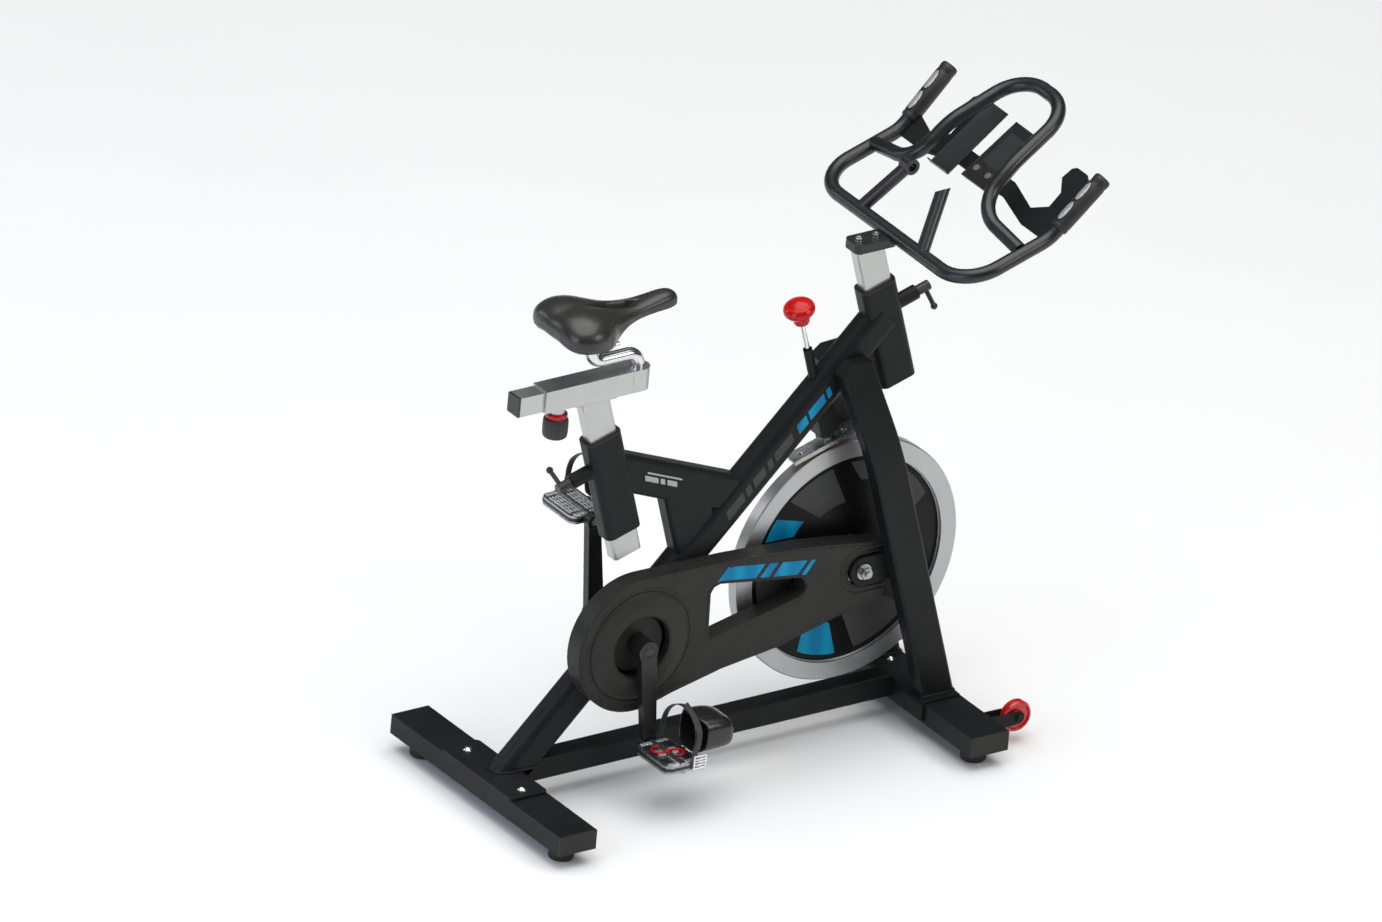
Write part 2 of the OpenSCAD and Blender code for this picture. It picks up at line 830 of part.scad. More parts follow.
module post_bushes() {
    color(plastic) {
        post_bush(seat_t, -1);
        post_bush(bar_t, 1);
    }
}

// ---- Drive ----

// The guard's side outline in X and Z from the crank axle
module guard_outline(inset) {
    front = flywheel_reach + 50 - inset;
    arc_step = 3;
    round_end = [for (a = [90 : arc_step : 285]) (guard_r - inset) * [cos(a), sin(a)]];
    difference() {
        polygon(concat(round_end, [[74, -105 + inset], [173, -82 + inset], [287, -66 + inset],
            [400, -36 + inset], [front, -16 + inset], [front, 84 - inset], [400, 100 - inset],
            [315, 111 - inset], [175, 119 - inset]]));
        guard_window(inset);
    }
}

module guard_window(inset) {
    polygon([[140 - inset, -12 - inset], [138 - inset, 66], [144, 76 + inset], [156, 80 + inset],
        [318, 56 + inset], [328, 49 + inset], [333 + inset, 36], [330 + inset, 26],
        [320, 19 - inset], [150, -20 - inset], [143, -18 - inset]]);
}

// The opening round the slotted axle plate
module guard_axle_opening() {
    r = dropout_r + 3;
    translate([flywheel_reach, flywheel_rise]) {
        circle(r);
        translate([0, -r]) square([100, 2 * r]);
    }
}

module guard_inner() {
    color(plastic) at_crank() difference() {
        y_slab(guard_seam_y, guard_back_y) guard_outline(0);
        y_slab(guard_seam_y - cut, guard_back_y - guard_wall) guard_outline(guard_wall);
        y_shaft(shell_r + seat_gap, -100, 0);
        translate([flywheel_reach, 0, flywheel_rise]) y_shaft(hub_r + 10, -100, 0);
    }
}

module guard_outer() {
    color(plastic) at_crank() {
        difference() {
            y_slab(guard_face_y, guard_seam_y) guard_outline(0);
            y_slab(guard_face_y + guard_wall, guard_seam_y + cut) guard_outline(guard_wall);
            y_shaft(guard_r - 24, -100, 0);
            y_slab(-100, guard_seam_y + cut) guard_axle_opening();
        }
        guard_dome();
    }
}

// The domed ring round the crank, seen as a profile of radius and height
module guard_dome() {
    rim = guard_r - 24;
    mid = guard_r - 47;
    translate([0, guard_face_y, 0]) rotate([90, 0, 0]) rotate_extrude() polygon([[rim, -guard_wall],
        [rim, 2], [rim - 6, 5], [mid, guard_dome_height - 1], [guard_hole_r + 4, guard_dome_height],
        [guard_hole_r, guard_dome_height - 2], [guard_hole_r, -6], [guard_hole_r + guard_wall, -6],
        [guard_hole_r + guard_wall, guard_dome_height - 4],
        [mid, guard_dome_height - 1 - guard_wall], [rim - 6, 5 - guard_wall],
        [rim - guard_wall, -guard_wall]]);
}

module drive_belt() {
    r1 = large_pulley_d / 2;
    r2 = small_pulley_d / 2;
    color(plastic) at_crank() y_slab(belt_y - belt_half, belt_y + belt_half)
        difference() {
            belt_outline(r1 + belt_thickness, r2 + belt_thickness);
            belt_outline(r1 + seat_gap, r2 + seat_gap);
        }
}

// A flanged pulley about the Y axis with a bore
module pulley(pitch_r, bore, flange) {
    y_ring(pitch_r, bore, belt_y - belt_half - seat_gap, belt_y + belt_half + seat_gap);
    for (y = [belt_y - pulley_half - 1, belt_y + belt_half + seat_gap])
        y_ring(pitch_r + flange, bore, y, y + 1.7);
}

module large_pulley() {
    web = 5;
    web_y = -shell_half - running_gap - web;
    rim_r = large_pulley_d / 2;
    color(steel) at_crank() difference() {
        union() {
            pulley(rim_r, rim_r - 8, 3);
            y_ring(rim_r - 8, crank_r, web_y, web_y + web);
            y_ring(26, crank_r, belt_y - pulley_half - 1, web_y + 1);
        }
        for (i = [0 : 4]) rotate([0, 72 * i, 0]) translate([60, 0, 0]) y_shaft(20, -100, 0);
    }
}

module small_pulley() {
    color(steel) at_flywheel()
        pulley(small_pulley_d / 2, axle_r + 3, 3);
}

module flywheel() {
    bevel = 1.5;
    rim_half = rim_width / 2;
    disc_half = disc_thickness / 2;
    rim_in = flywheel_r - rim_depth;
    edge = [[hub_r, disc_half], [rim_in, disc_half], [rim_in, rim_half],
        [flywheel_r - bevel, rim_half], [flywheel_r, rim_half - bevel]];
    color(chrome) at_flywheel() rotate([90, 0, 0]) difference() {
        rotate_extrude($fn = 144) polygon(both_sides(edge));
        for (i = [0 : 4]) rotate(72 * i) translate([hub_bolt_r, 0, -rim_half])
            cylinder(d = 6.4, h = rim_width);
    }
}

// The hub through the disc, its two bearings and the bolts of its flange
module flywheel_hub() {
    disc_half = disc_thickness / 2;
    flange = 6;
    at_flywheel() {
        color(steel) difference() {
            union() {
                y_shaft(hub_r, -hub_half, hub_half);
                y_shaft(hub_flange_r, disc_half, disc_half + flange);
            }
            y_shaft(axle_r + 3, -hub_half - cut, hub_half + cut);
            for (side = [-1, 1]) translate([0, side * hub_half, 0])
                y_shaft(hub_bearing_r, -hub_bearing_width, hub_bearing_width);
            for (i = [0 : 4]) rotate([0, -72 * i, 0])
                translate([hub_bolt_r, 0, 0]) y_shaft(3.2, 0, 100);
        }
        color(chrome) for (side = [-1, 1])
            translate([0, side * (hub_half - hub_bearing_width / 2), 0])
                y_ring(hub_bearing_r, axle_r + running_clearance, -hub_bearing_width / 2,
                    hub_bearing_width / 2);
        color(chrome) for (i = [0 : 4]) rotate([0, -72 * i, 0])
            translate([hub_bolt_r, 0, 0]) {
                y_shaft(3, -disc_half, disc_half + flange);
                y_shaft(5.5, disc_half + flange, disc_half + flange + 5);
                y_shaft(5.5, -disc_half - 5, -disc_half);
            }
    }
}

// The fixed axle with a washer and a nut outside each slotted plate, and its spacers
module flywheel_axle() {
    washer = 2.5;
    nut = 9;
    nut_y = dropout_out + washer;
    half = nut_y + nut + 6;
    spacer = leg_inner_y - dropout_thickness;
    at_flywheel() color(chrome) {
        y_shaft(axle_r, -half, half);
        for (turn = [0, 180]) rotate([0, 0, turn]) {
            y_ring(14, axle_r, dropout_out, nut_y);
            difference() {
                translate([0, nut_y, 0]) rotate([-90, 0, 0]) cylinder(r = 11, h = nut, $fn = 6);
                y_shaft(axle_r, 0, 200);
            }
            y_ring(9, axle_r, turn == 0 ? hub_half + seat_gap : pulley_end, spacer);
        }
    }
}

module crank_axle() {
    color(steel) at_crank()
        y_shaft(crank_r, -crank_out, crank_out);
}

// One arm from its axle boss to its spindle eye, drawn along X and cut for both
module crank_arm(side) {
    boss_r = 19;
    eye_r = 14;
    arm_half = 12;
    y0 = side * crank_y - crank_thickness / 2;
    y1 = y0 + crank_thickness;
    rotate([0, 90 - crank_angle - (side > 0 ? 180 : 0), 0]) difference() {
        union() {
            y_shaft(boss_r, side > 0 ? shell_half + 2 : y0,
                side > 0 ? y1 : belt_y - pulley_half - 1);
            translate([crank_length, 0, 0]) y_shaft(eye_r, y0, y1);
            y_slab(y0, y1) polygon([[0, boss_r - 3], [crank_length, arm_half],
                [crank_length, -arm_half], [0, -boss_r + 3]]);
        }
        y_shaft(crank_r, -200, 200);
        translate([crank_length, 0, 0]) y_shaft(spindle_r, -200, 200);
    }
}

module crank_arms() {
    color(plastic) at_crank() for (side = [-1, 1]) crank_arm(side);
}

module pedal_spindles() {
    color(steel) at_crank() for (side = [-1, 1]) {
        drop = -side * pedal_drop;
        inner = crank_y - crank_thickness / 2;
        outer = pedal_y + pedal_width / 2 - 8;
        translate([drop[0], 0, drop[1]])
            y_shaft(spindle_r, side > 0 ? inner : -outer, side > 0 ? outer : -inner);
    }
}

// Children are drawn about a pedal's own spindle, with Y from its middle
module at_pedal(side) {
    drop = -side * pedal_drop;
    at_crank() translate([drop[0], side * pedal_y, drop[1]]) children();
}

// A pedal body: an open frame with a barrel for the spindle and a cleat plate
module pedal(side) {
    barrel_r = 10;
    rail = 12;
    window_length = pedal_length / 2 - rail - barrel_r + 1;
    at_pedal(side) difference() {
        union() {
            translate([0, 0, -pedal_height / 2]) linear_extrude(pedal_height)
                round_rect(pedal_length, pedal_width, 14);
            y_shaft(barrel_r, -pedal_width / 2, pedal_width / 2);
        }
        for (x = [-1, 1], y = [-1, 1])
            translate([x * (barrel_r + window_length / 2), y * pedal_width / 4.6, 0])
                cube([window_length, pedal_width / 2.9, 2 * pedal_height], center = true);
        bore_end = pedal_width / 2 - 8 + seat_gap;
        y_shaft(spindle_r + running_clearance, side > 0 ? -pedal_width : -bore_end,
            side > 0 ? bore_end : pedal_width);
    }
}

module pedal_right() color(chrome) pedal(-1);

module pedal_left() color(chrome) pedal(1);

// The toe cage: a cup in front of the pedal, bolted to the pedal's front edge
module toe_cage(side) {
    wall = 3;
    nose_r = 26;
    back = pedal_length / 2;
    nose = [back + 48, 36];
    low = nose[1] - nose_r;
    crown_x = back + 12;
    crown_z = 68;
    half = cage_width / 2;
    at_pedal(side) {
        y_slab(-half, half) difference() {
            union() {
                translate(nose) circle(nose_r);
                translate([back, low]) square([nose[0] - back, nose_r]);
                polygon([[crown_x, nose[1]], [crown_x, crown_z], [nose[0] + 4, nose[1] + nose_r],
                    [nose[0], nose[1]]]);
            }
            translate(nose) circle(nose_r - wall);
            translate([back - cut, low + wall]) square([nose[0] - back + cut, nose_r]);
            polygon([[back - cut, nose[1] - cut], [crown_x - cut, crown_z - wall],
                [nose[0] + 3, nose[1] + nose_r - wall], [nose[0], nose[1] - cut]]);
        }
        y_slab(-half, half) translate([back, -5]) square([wall, low + wall + 5]);
        for (y = [-half, half - wall]) y_slab(y, y + wall) difference() {
            union() {
                translate(nose) circle(nose_r - 1);
                translate([back + 1, low + 1]) square([nose[0] - back - 1, nose_r]);
            }
            translate([back - 4, nose[1] + 30]) circle(42);
        }
    }
}

module toe_cage_right() color(plastic) toe_cage(-1);

module toe_cage_left() color(plastic) toe_cage(1);

// The strap: an arch over the foot from one side of the pedal to the other
module toe_strap(side) {
    thickness = 2;
    width = 12;
    half = pedal_width / 2 + seat_gap;
    spring_z = 48;
    at_pedal(side) translate([pedal_length / 2 - 16, 0, 0]) rotate([90, 0, 90])
        translate([0, 0, -width / 2]) linear_extrude(width) difference() {
            union() {
                translate([0, spring_z]) circle(half + thickness);
                translate([-half - thickness, -pedal_height / 2 + 2])
                    square([2 * (half + thickness), spring_z + pedal_height / 2 - 2]);
            }
            translate([0, spring_z]) circle(half);
            translate([-half, -pedal_height]) square([2 * half, spring_z + pedal_height]);
        }
}

module toe_strap_right() color(vinyl) toe_strap(-1);

module toe_strap_left() color(vinyl) toe_strap(1);

// ---- Saddle ----

// A post's open tube, from a station along its axis to past its top
module post_tube(t, low) {
    leaning() translate([t, 0, low]) linear_extrude(420)
        tube_section(post_depth, post_width, post_round, post_wall);
}

// The post with the cross sleeve of the saddle slider welded on its top
module seat_post() {
    saddle_plate = 4;
    screw_boss_d = 28;
    screw_boss = 13;
    color(grey) difference() {
        union() {
            difference() {
                post_tube(seat_t, sleeve_start - seat_post_tail);
                in_place() translate([-400, -50, slider_height]) cube([600, 100, 600]);
            }
            in_place() {
                translate([slider_rear, -slider_width / 2, slider_height])
                    cube([slider_length, slider_width, slider_depth]);
                translate([-slider_front - 111, -post_width / 2 - 3, slider_height - saddle_plate])
                    cube([82, post_width + 6, saddle_plate]);
                translate([knob_x, 0, slider_height - screw_boss])
                    cylinder(d = screw_boss_d, h = screw_boss + base_wall);
            }
        }
        in_place() {
            translate([slider_rear - cut, -beam_slide_width / 2 - slide_gap, beam_low - slide_gap])
                cube([slider_length + 2 * cut, beam_slide_width + 2 * slide_gap,
                    beam_slide_height + 2 * slide_gap]);
            translate([knob_x, 0, slider_height - screw_boss - cut])
                cylinder(d = screw_hole, h = slider_depth / 2);
        }
    }
}

// The sliding beam, its rear end cap and the front block that holds the stem
module slider_beam() {
    beam_wall = 2.5;
    cap = 4;
    tail_x = slider_rear - slider_tail;
    block_r = slider_width / 2;
    hollow = [beam_slide_width - 2 * beam_wall, beam_slide_height - 2 * beam_wall];
    color(grey) in_place() difference() {
        union() {
            difference() {
                translate([tail_x + cap, -beam_slide_width / 2, beam_low])
                    cube([slider_length + slider_tail - cap + 1, beam_slide_width,
                        beam_slide_height]);
                translate([tail_x, -hollow[0] / 2, beam_low + beam_wall])
                    cube([slider_length + slider_tail - 6, hollow[0], hollow[1]]);
            }
            translate([-slider_front + seat_gap, -block_r, slider_height])
                cube([stem_x + slider_front - seat_gap, 2 * block_r, slider_depth]);
            translate([stem_x, 0, slider_height]) cylinder(r = block_r, h = slider_depth);
        }
        translate([stem_x, 0, slider_height + 8]) cylinder(d = stem_d, h = slider_depth);
    }
    color(plastic) in_place() {
        translate([tail_x, -beam_slide_width / 2, beam_low])
            cube([cap, beam_slide_width, beam_slide_height]);
        translate([tail_x + cap, -hollow[0] / 2, beam_low + beam_wall])
            cube([14, hollow[0], hollow[1]]);
    }
}

// The bent stem with the saddle's clamp and its two rails
module saddle_stem() {
    bend = 24;
    clamp_r = 18;
    rail_d = 7;
    rail_y = 22;
    rail_length = 84;
    rear_x = stem_x - stem_run;
    path = [[stem_x, 0, slider_height + 8], [stem_x, 0, stem_level], [rear_x, 0, stem_level],
        [rear_x, 0, saddle_under - 16]];
    color(chrome) in_place() bent_tube(path, [bend, bend], stem_d / 2, 2.5);
    color(steel) in_place() {
        translate([rear_x, 0, saddle_under - 16]) cylinder(r = clamp_r, h = 9);
        translate([rear_x - 12, -rail_y - 6, saddle_under - 7]) cube([24, 2 * rail_y + 12, 3]);
        for (side = [-1, 1])
            translate([rear_x - rail_length / 2, side * rail_y, saddle_under - rail_d / 2 - seat_gap])
                rotate([0, 90, 0]) cylinder(d = rail_d, h = rail_length);
    }
}

// The saddle's plain outer shape: a wide rear lobe drawn out into a lower nose
module saddle() {
    $fn = 32;
    rear_r = 40;
    lobe_x = saddle_rear_x + rear_r;
    lobe_y = saddle_width / 2 - rear_r;
    waist_x = saddle_rear_x + 135;
    nose_x = saddle_front_x - 20;
    color(vinyl) in_place() {
        hull() {
            for (side = [-1, 1]) {
                translate([lobe_x + 12, side * (lobe_y + 4), saddle_under + 15])
                    cylinder(r = rear_r - 8, h = 20);
                translate([lobe_x, side * lobe_y, saddle_top - 45]) cylinder(r = rear_r, h = 22);
                translate([lobe_x + 8, side * (lobe_y - 14), saddle_top - 12])
                    cylinder(r = rear_r - 16, h = 12);
            }
            translate([waist_x - 40, 0, saddle_under]) cylinder(r = 30, h = 30);
            translate([waist_x, 0, saddle_under + 16])
                cylinder(r = 25, h = saddle_top - saddle_under - 34);
        }
        hull() {
            translate([waist_x - 30, 0, saddle_under]) cylinder(r = 30, h = 30);
            translate([waist_x - 30, 0, saddle_top - 30]) cylinder(r = 30, h = 12);
            translate([nose_x, 0, saddle_top - 44]) cylinder(r = 20, h = 22);
            translate([nose_x - 4, 0, saddle_top - 44]) cylinder(r = 14, h = 33);
        }
    }
}

// The slider's clamp knob: a screw, a red collar and a ribbed grip
module slider_knob() {
    collar_top = slider_height - 13.5;
    grip_top = collar_top - 8;
    grip_length_z = 37;
    grip_r = 22;
    ribs = 20;
    in_place() translate([knob_x, 0, 0]) {
        color(steel) translate([0, 0, grip_top])
            cylinder(d = screw_d, h = beam_low - seat_gap - grip_top);
        color(knob_red) translate([0, 0, grip_top]) difference() {
            cylinder(r = 19, h = collar_top - grip_top);
            translate([0, 0, -cut]) cylinder(d = screw_d, h = 40);
        }
        color(plastic) translate([0, 0, grip_top - grip_length_z]) difference() {
            cylinder(r = grip_r, h = grip_length_z);
            for (i = [0 : ribs - 1]) rotate(360 / ribs * i)
                translate([grip_r + 0.8, 0, -cut]) cylinder(r = 2.2, h = grip_length_z - 5);
        }
    }
}

// A clamp lever on a sleeve's boss: screw, hub, angled arm and ball
module clamp_lever(t, side, swing) {
    hub_r_lever = 9;
    hub_length = 26;
    arm = 36;
    ball_r = 6;
    boss_end = sleeve_depth / 2 + boss_length;
    tip = post_depth / 2 + seat_gap;
    at_boss(t, side) {
        translate([0, 0, tip]) cylinder(d = screw_d, h = boss_end + 4 - tip);
        translate([0, 0, boss_end + seat_gap]) cylinder(r = hub_r_lever, h = hub_length);
        translate([0, 0, boss_end + hub_length - 8]) rotate(swing) {
            rotate([0, 90, 0]) cylinder(r = 4, h = arm);
            translate([arm, 0, 0]) sphere(ball_r);
        }
    }
}

module seat_lever() color(plastic) clamp_lever(seat_t, -1, 56);

module bar_lever() color(plastic) clamp_lever(bar_t, 1, -33);

// ---- Handlebar ----

module bar_post() {
    color(grey) difference() {
        post_tube(bar_t, sleeve_start + 14);
        at_clamp() translate([-300, -100, 0]) cube([600, 200, 400]);
    }
}

// The plate under the handlebar with its two socket bolts
module bar_clamp_plate() {
    plate_length = 82;
    plate_width = 42;
    plate_back = -34;
    bolts = [-18, 16];
    at_clamp() {
        color(satin) difference() {
            translate([plate_back + plate_length / 2, 0, 0]) linear_extrude(clamp_plate_thickness)
                round_rect(plate_length, plate_width, 10);
            bent_bar(bar_path, bar_bends, bar_r);
            for (x = bolts) translate([x, 0, -cut]) cylinder(d = 8.6, h = 40);
        }
        color(chrome) for (x = bolts) translate([x, 0, 0]) difference() {
            union() {
                cylinder(d = 8, h = clamp_plate_thickness);
                translate([0, 0, clamp_plate_thickness]) cylinder(d = 13, h = 6);
            }
            translate([0, 0, clamp_plate_thickness + 2]) cylinder(r = 3.5, h = 10, $fn = 6);
        }
    }
}

// A tube that rises from the base bar to a point beyond the stub's tip
module stub(side, r, beyond) {
    foot = [base_bar[0], side * stub_foot_y, base_bar[2]];
    tip = [stub_tip[0], side * stub_tip[1], stub_tip[2]];
    rod(foot, tip + unit(tip - foot) * beyond, r);
}

// The outer bar with its stubs: the left ends in a cross sleeve, the right in a slant
module handlebar() {
    color(satin) at_clamp() {
        bent_tube(bar_path, bar_bends, bar_r, bar_wall);
        difference() {
            union() {
                stub(1, stub_d / 2, 0);
                stub(-1, stub_d / 2, 24);
                translate(stub_tip)
                    y_shaft(stub_ring_r, -stub_ring_length / 2, stub_ring_length / 2);
            }
            stub(1, stub_d / 2 - bar_wall, -stub_ring_bore + cut);
            stub(-1, stub_d / 2 - bar_wall, 30);
            translate(stub_tip) y_shaft(stub_ring_bore, -stub_ring_length, stub_ring_length);
            translate([0, -bar_half, 0]) translate(base_bar) y_shaft(bar_r, 0, bar_width);
            translate([stub_tip[0], -stub_tip[1], stub_tip[2]]) rotate([-stub_slant, 0, 0])
                translate([-50, -50, 0]) cube([100, 100, 60]);
        }
    }
}

module aero_loop() {
    color(satin) at_clamp() difference() {
        bent_tube(loop_path, loop_bends, bar_r, bar_wall);
        bent_bar(bar_path, bar_bends, bar_r);
    }
}

// The straight run of an arm under its grip
module grip_rod(side, r, past, low) {
    tip = [bar_tip[0], side * bar_tip[1], bar_tip[2]];
    back = unit([bar_heel[0], side * bar_heel[1], bar_heel[2]] - tip);
    rod(tip - back * past, tip + back * low, r);
}

// A padded grip on each arm's end
module grips() {
    end_cap = 5;
    color(vinyl) at_clamp() for (side = [-1, 1]) difference() {
        grip_rod(side, grip_d / 2, end_cap, grip_length);
        grip_rod(side, bar_r, 0, grip_length + cut);
    }
}

// The right wing of the holder: strip, notch towards the rear and ear
module right_wing() {
    polygon([[12, 1], [44, 1], [44, -68], [25, -136], [45, -166], [76, -162], [98, -138],
        [120, -140], [127, -148], [127, -176], [120, -188], [78, -204], [40, -wing_reach],
        [-7, -wing_reach], [-7, -145], [12, -70]]);
}

// The left wing: its ear stands nearer to the console
module left_wing() {
    polygon([[12, -1], [12, 70], [-7, 145], [-7, wing_reach], [44, wing_reach], [25, 154],
        [45, 126], [77, 129], [98, 153], [120, 150], [127, 140], [127, 114], [120, 102],
        [44, 68], [44, -1]]);
}

module holder_bracket() {
    color(satin) difference() {
        on_holder() translate([0, 0, -holder_drop - bracket_thickness])
            linear_extrude(bracket_thickness) {
                right_wing();
                left_wing();
            }
        at_clamp() {
            bent_bar(bar_path, bar_bends, bar_r);
            for (side = [-1, 1])
                grip_rod(side, grip_d / 2 + seat_gap, 0, grip_length + seat_gap);
        }
    }
}

// A tray beside the console on the left, with a lip at its lower end
module side_tray() {
    low = 6;
    high = 130;
    inner = 60;
    width = 52;
    lip = 20;
    wall = 2;
    color(steel) on_holder() translate([low - lip, inner, -holder_drop]) {
        cube([high - low + lip, width, wall]);
        cube([wall, width, 12]);
    }
}

// The console housing over the bracket with its screen pocket, lens and button wells
module console() {
    top_width = console_width - 10;
    lens = [73, 42];
    lens_p = 74;
    strip = 46;
    color(plastic) on_holder() difference() {
        union() {
            translate([0, 0, -holder_drop]) linear_extrude(console_face + holder_drop) polygon([
                [0, -console_width / 2], [console_length, -top_width / 2],
                [console_length, top_width / 2], [0, console_width / 2]]);
            translate([strip, -top_width / 2 + 2, -console_thickness])
                cube([console_length - strip - 4, top_width - 4, console_thickness]);
        }
        translate([lens_p - lens[0] / 2, -lens[1] / 2, console_face - 2]) cube([lens[0], lens[1], 5]);
        for (side = [-1, 1]) translate([button_p, side * button_y, console_face - button_well])
            cylinder(r = button_r + button_gap, h = button_well + cut);
    }
    color("#33393b") on_holder() translate([lens_p - lens[0] / 2, -lens[1] / 2, console_face - 2])
        cube([lens[0], lens[1], 1.5]);
}

module console_button(side) {
    foot = console_face - button_well + button_travel + button_gap;
    color(steel) on_holder() translate([button_p, side * button_y, foot])
        cylinder(r = button_r, h = console_face + button_proud - foot);
}

module button_left() console_button(1);

module button_right() console_button(-1);

// ---- Brake ----

module brake_sleeve_body() {
    leaning() translate([brake_offset, 0, brake_block_bottom])
        cylinder(d = 16, h = brake_sleeve_top - brake_block_bottom);
}

// The rod's guide through the main tube with a block under the tube
module brake_sleeve() {
    spring_bore_r = 6.4;
    color(satin) difference() {
        union() {
            brake_sleeve_body();
            difference() {
                leaning() translate([brake_offset - brake_block_size / 2,
                    -brake_block_size / 2, brake_block_bottom])
                    cube([brake_block_size, brake_block_size,
                        brake_block_top - brake_block_bottom + 40]);
                main_tube_body(0);
                leaning() translate([brake_offset - 60, -60, brake_block_top + 22])
                    cube([120, 120, 200]);
            }
        }
        leaning() {
            translate([brake_offset, 0, brake_block_bottom - cut])
                cylinder(r = brake_rod_r + seat_gap, h = 400);
            translate([brake_offset, 0, spring_floor]) cylinder(r = spring_bore_r, h = 400);
        }
    }
}

// The rod with its collar, the steel holder and the pad under it
module brake_shoe() {
    holder_w = pad_w + pad_thickness;
    pad_width = 24;
    holder_width = 30;
    leaning() {
        color(chrome) translate([brake_offset, 0, holder_w + holder_thickness])
            cylinder(r = brake_rod_r, h = brake_knob_w - 12 - holder_w - holder_thickness);
        color(chrome) translate([brake_offset, 0, spring_top]) cylinder(r = 6, h = 2);
        color(steel) translate([pad_centre_t - pad_length / 2, -holder_width / 2, holder_w])
            cube([pad_length, holder_width, holder_thickness]);
        color(steel) translate([brake_offset, 0, holder_w + holder_thickness])
            difference() {
                cylinder(r = 9, h = 6);
                cylinder(r = brake_rod_r, h = 20);
            }
        color("#9c7a4c") translate([pad_centre_t - pad_length / 2 + 3, -pad_width / 2, pad_w])
            cube([pad_length - 6, pad_width, pad_thickness]);
    }
}

// The return spring round the rod inside its sleeve, held by a clip at its top
module brake_spring() {
    wire_r = 0.8;
    coil_r = 5.2;
    turns = 9;
    height = 80;
    steps = 12;
    sides = 6;
    rings = turns * steps;
    points = [for (i = [0 : rings], j = [0 : sides - 1])
        let (a = 360 * i / steps, r = coil_r + wire_r * cos(360 * j / sides))
            [r * cos(a), r * sin(a), height * i / rings + wire_r * sin(360 * j / sides)]];
    walls = [for (i = [0 : rings - 1], j = [0 : sides - 1], half = [0, 1])
        let (a = i * sides + j, b = i * sides + (j + 1) % sides, c = b + sides, d = a + sides)
            half == 0 ? [a, b, c] : [a, c, d]];
    ends = [[for (j = [0 : sides - 1]) sides - 1 - j],
        [for (j = [0 : sides - 1]) rings * sides + j]];
    color(steel) leaning() translate([brake_offset, 0, spring_top - height - wire_r - 0.1])
        polyhedron(points, concat(walls, ends), convexity = 10);
}

module brake_knob() {
    cap_r = brake_knob_d / 2;
    neck_r = 14;
    color(knob_red) leaning() translate([brake_offset, 0, brake_knob_w]) difference() {
        rotate_extrude() polygon([[0, -26], [neck_r - 3, -26], [neck_r, -22], [neck_r - 1, -14],
            [neck_r + 3, -11], [cap_r - 3, -4], [cap_r, 2], [cap_r - 1, 8], [cap_r - 8, 15],
            [cap_r - 18, 18.5], [0, 20]]);
        translate([0, 0, -40]) cylinder(r = brake_rod_r + running_clearance, h = 28 + running_gap);
    }
}

// ---- Feet and transport wheels ----

module levelling_foot(x, side) {
    edge = 4;
    r = foot_d / 2;
    in_place() translate([x, side * foot_y, 0]) {
        color(plastic) rotate_extrude() polygon([[0, 0], [r - edge, 0], [r - 1, 1.5],
            [r, edge], [r, foot_pad_height - 2], [r - 2, foot_pad_height], [0, foot_pad_height]]);
        color(steel) translate([0, 0, foot_pad_height]) {
            cylinder(r = foot_nut_r, h = ground_gap - foot_pad_height - 0.2, $fn = 6);
            cylinder(d = foot_stem_d, h = ground_gap + 24 - foot_pad_height);
        }
    }
}

module foot_rear_right() levelling_foot(-rear_reach, -1);

module foot_rear_left() levelling_foot(-rear_reach, 1);

module foot_front_right() levelling_foot(front_reach, -1);

module foot_front_left() levelling_foot(front_reach, 1);

// Children are drawn about a transport wheel's own axle
module at_wheel(side) {
    in_place() translate([front_reach + stabiliser_depth / 2 + wheel_reach,
        side * wheel_spacing / 2, wheel_axle_height]) children();
}

// A fork bracket of two cheeks and a back plate, and the wheel's axle bolt
module wheel_brackets() {
    cheek = 3;
    play = 1;
    inner = wheel_width / 2 + play;
    outer = inner + cheek;
    eye_r = 11;
    axle_bolt_r = 4;
    for (side = [-1, 1]) at_wheel(side) {
        color(satin) difference() {
            union() {
                for (y = [-outer, inner]) y_slab(y, y + cheek) {
                    circle(eye_r);
                    polygon([[0, eye_r], [-wheel_reach, 12], [-wheel_reach, -14], [0, -eye_r]]);
                }
                translate([-wheel_reach, -outer, -14]) cube([4, 2 * outer, 26]);
            }
            y_shaft(axle_bolt_r, -100, 100);
        }
        color(chrome) {
            y_shaft(axle_bolt_r, -outer, outer);
            for (y = [-outer - 5, outer]) translate([0, y, 0]) rotate([-90, 0, 0])
                cylinder(r = 7, h = 5, $fn = 6);
        }
    }
}

module transport_wheel(side) {
    half = wheel_width / 2;
    r = wheel_d / 2;
    edge = [[4 + running_clearance, half], [11, half], [12, half - 3], [r - 7, half - 3],
        [r - 5, half], [r - 2, half], [r, half - 3]];
    color(knob_red) at_wheel(side) rotate([90, 0, 0]) rotate_extrude()
        polygon(both_sides(edge));
}

module wheel_right() transport_wheel(-1);

module wheel_left() transport_wheel(1);

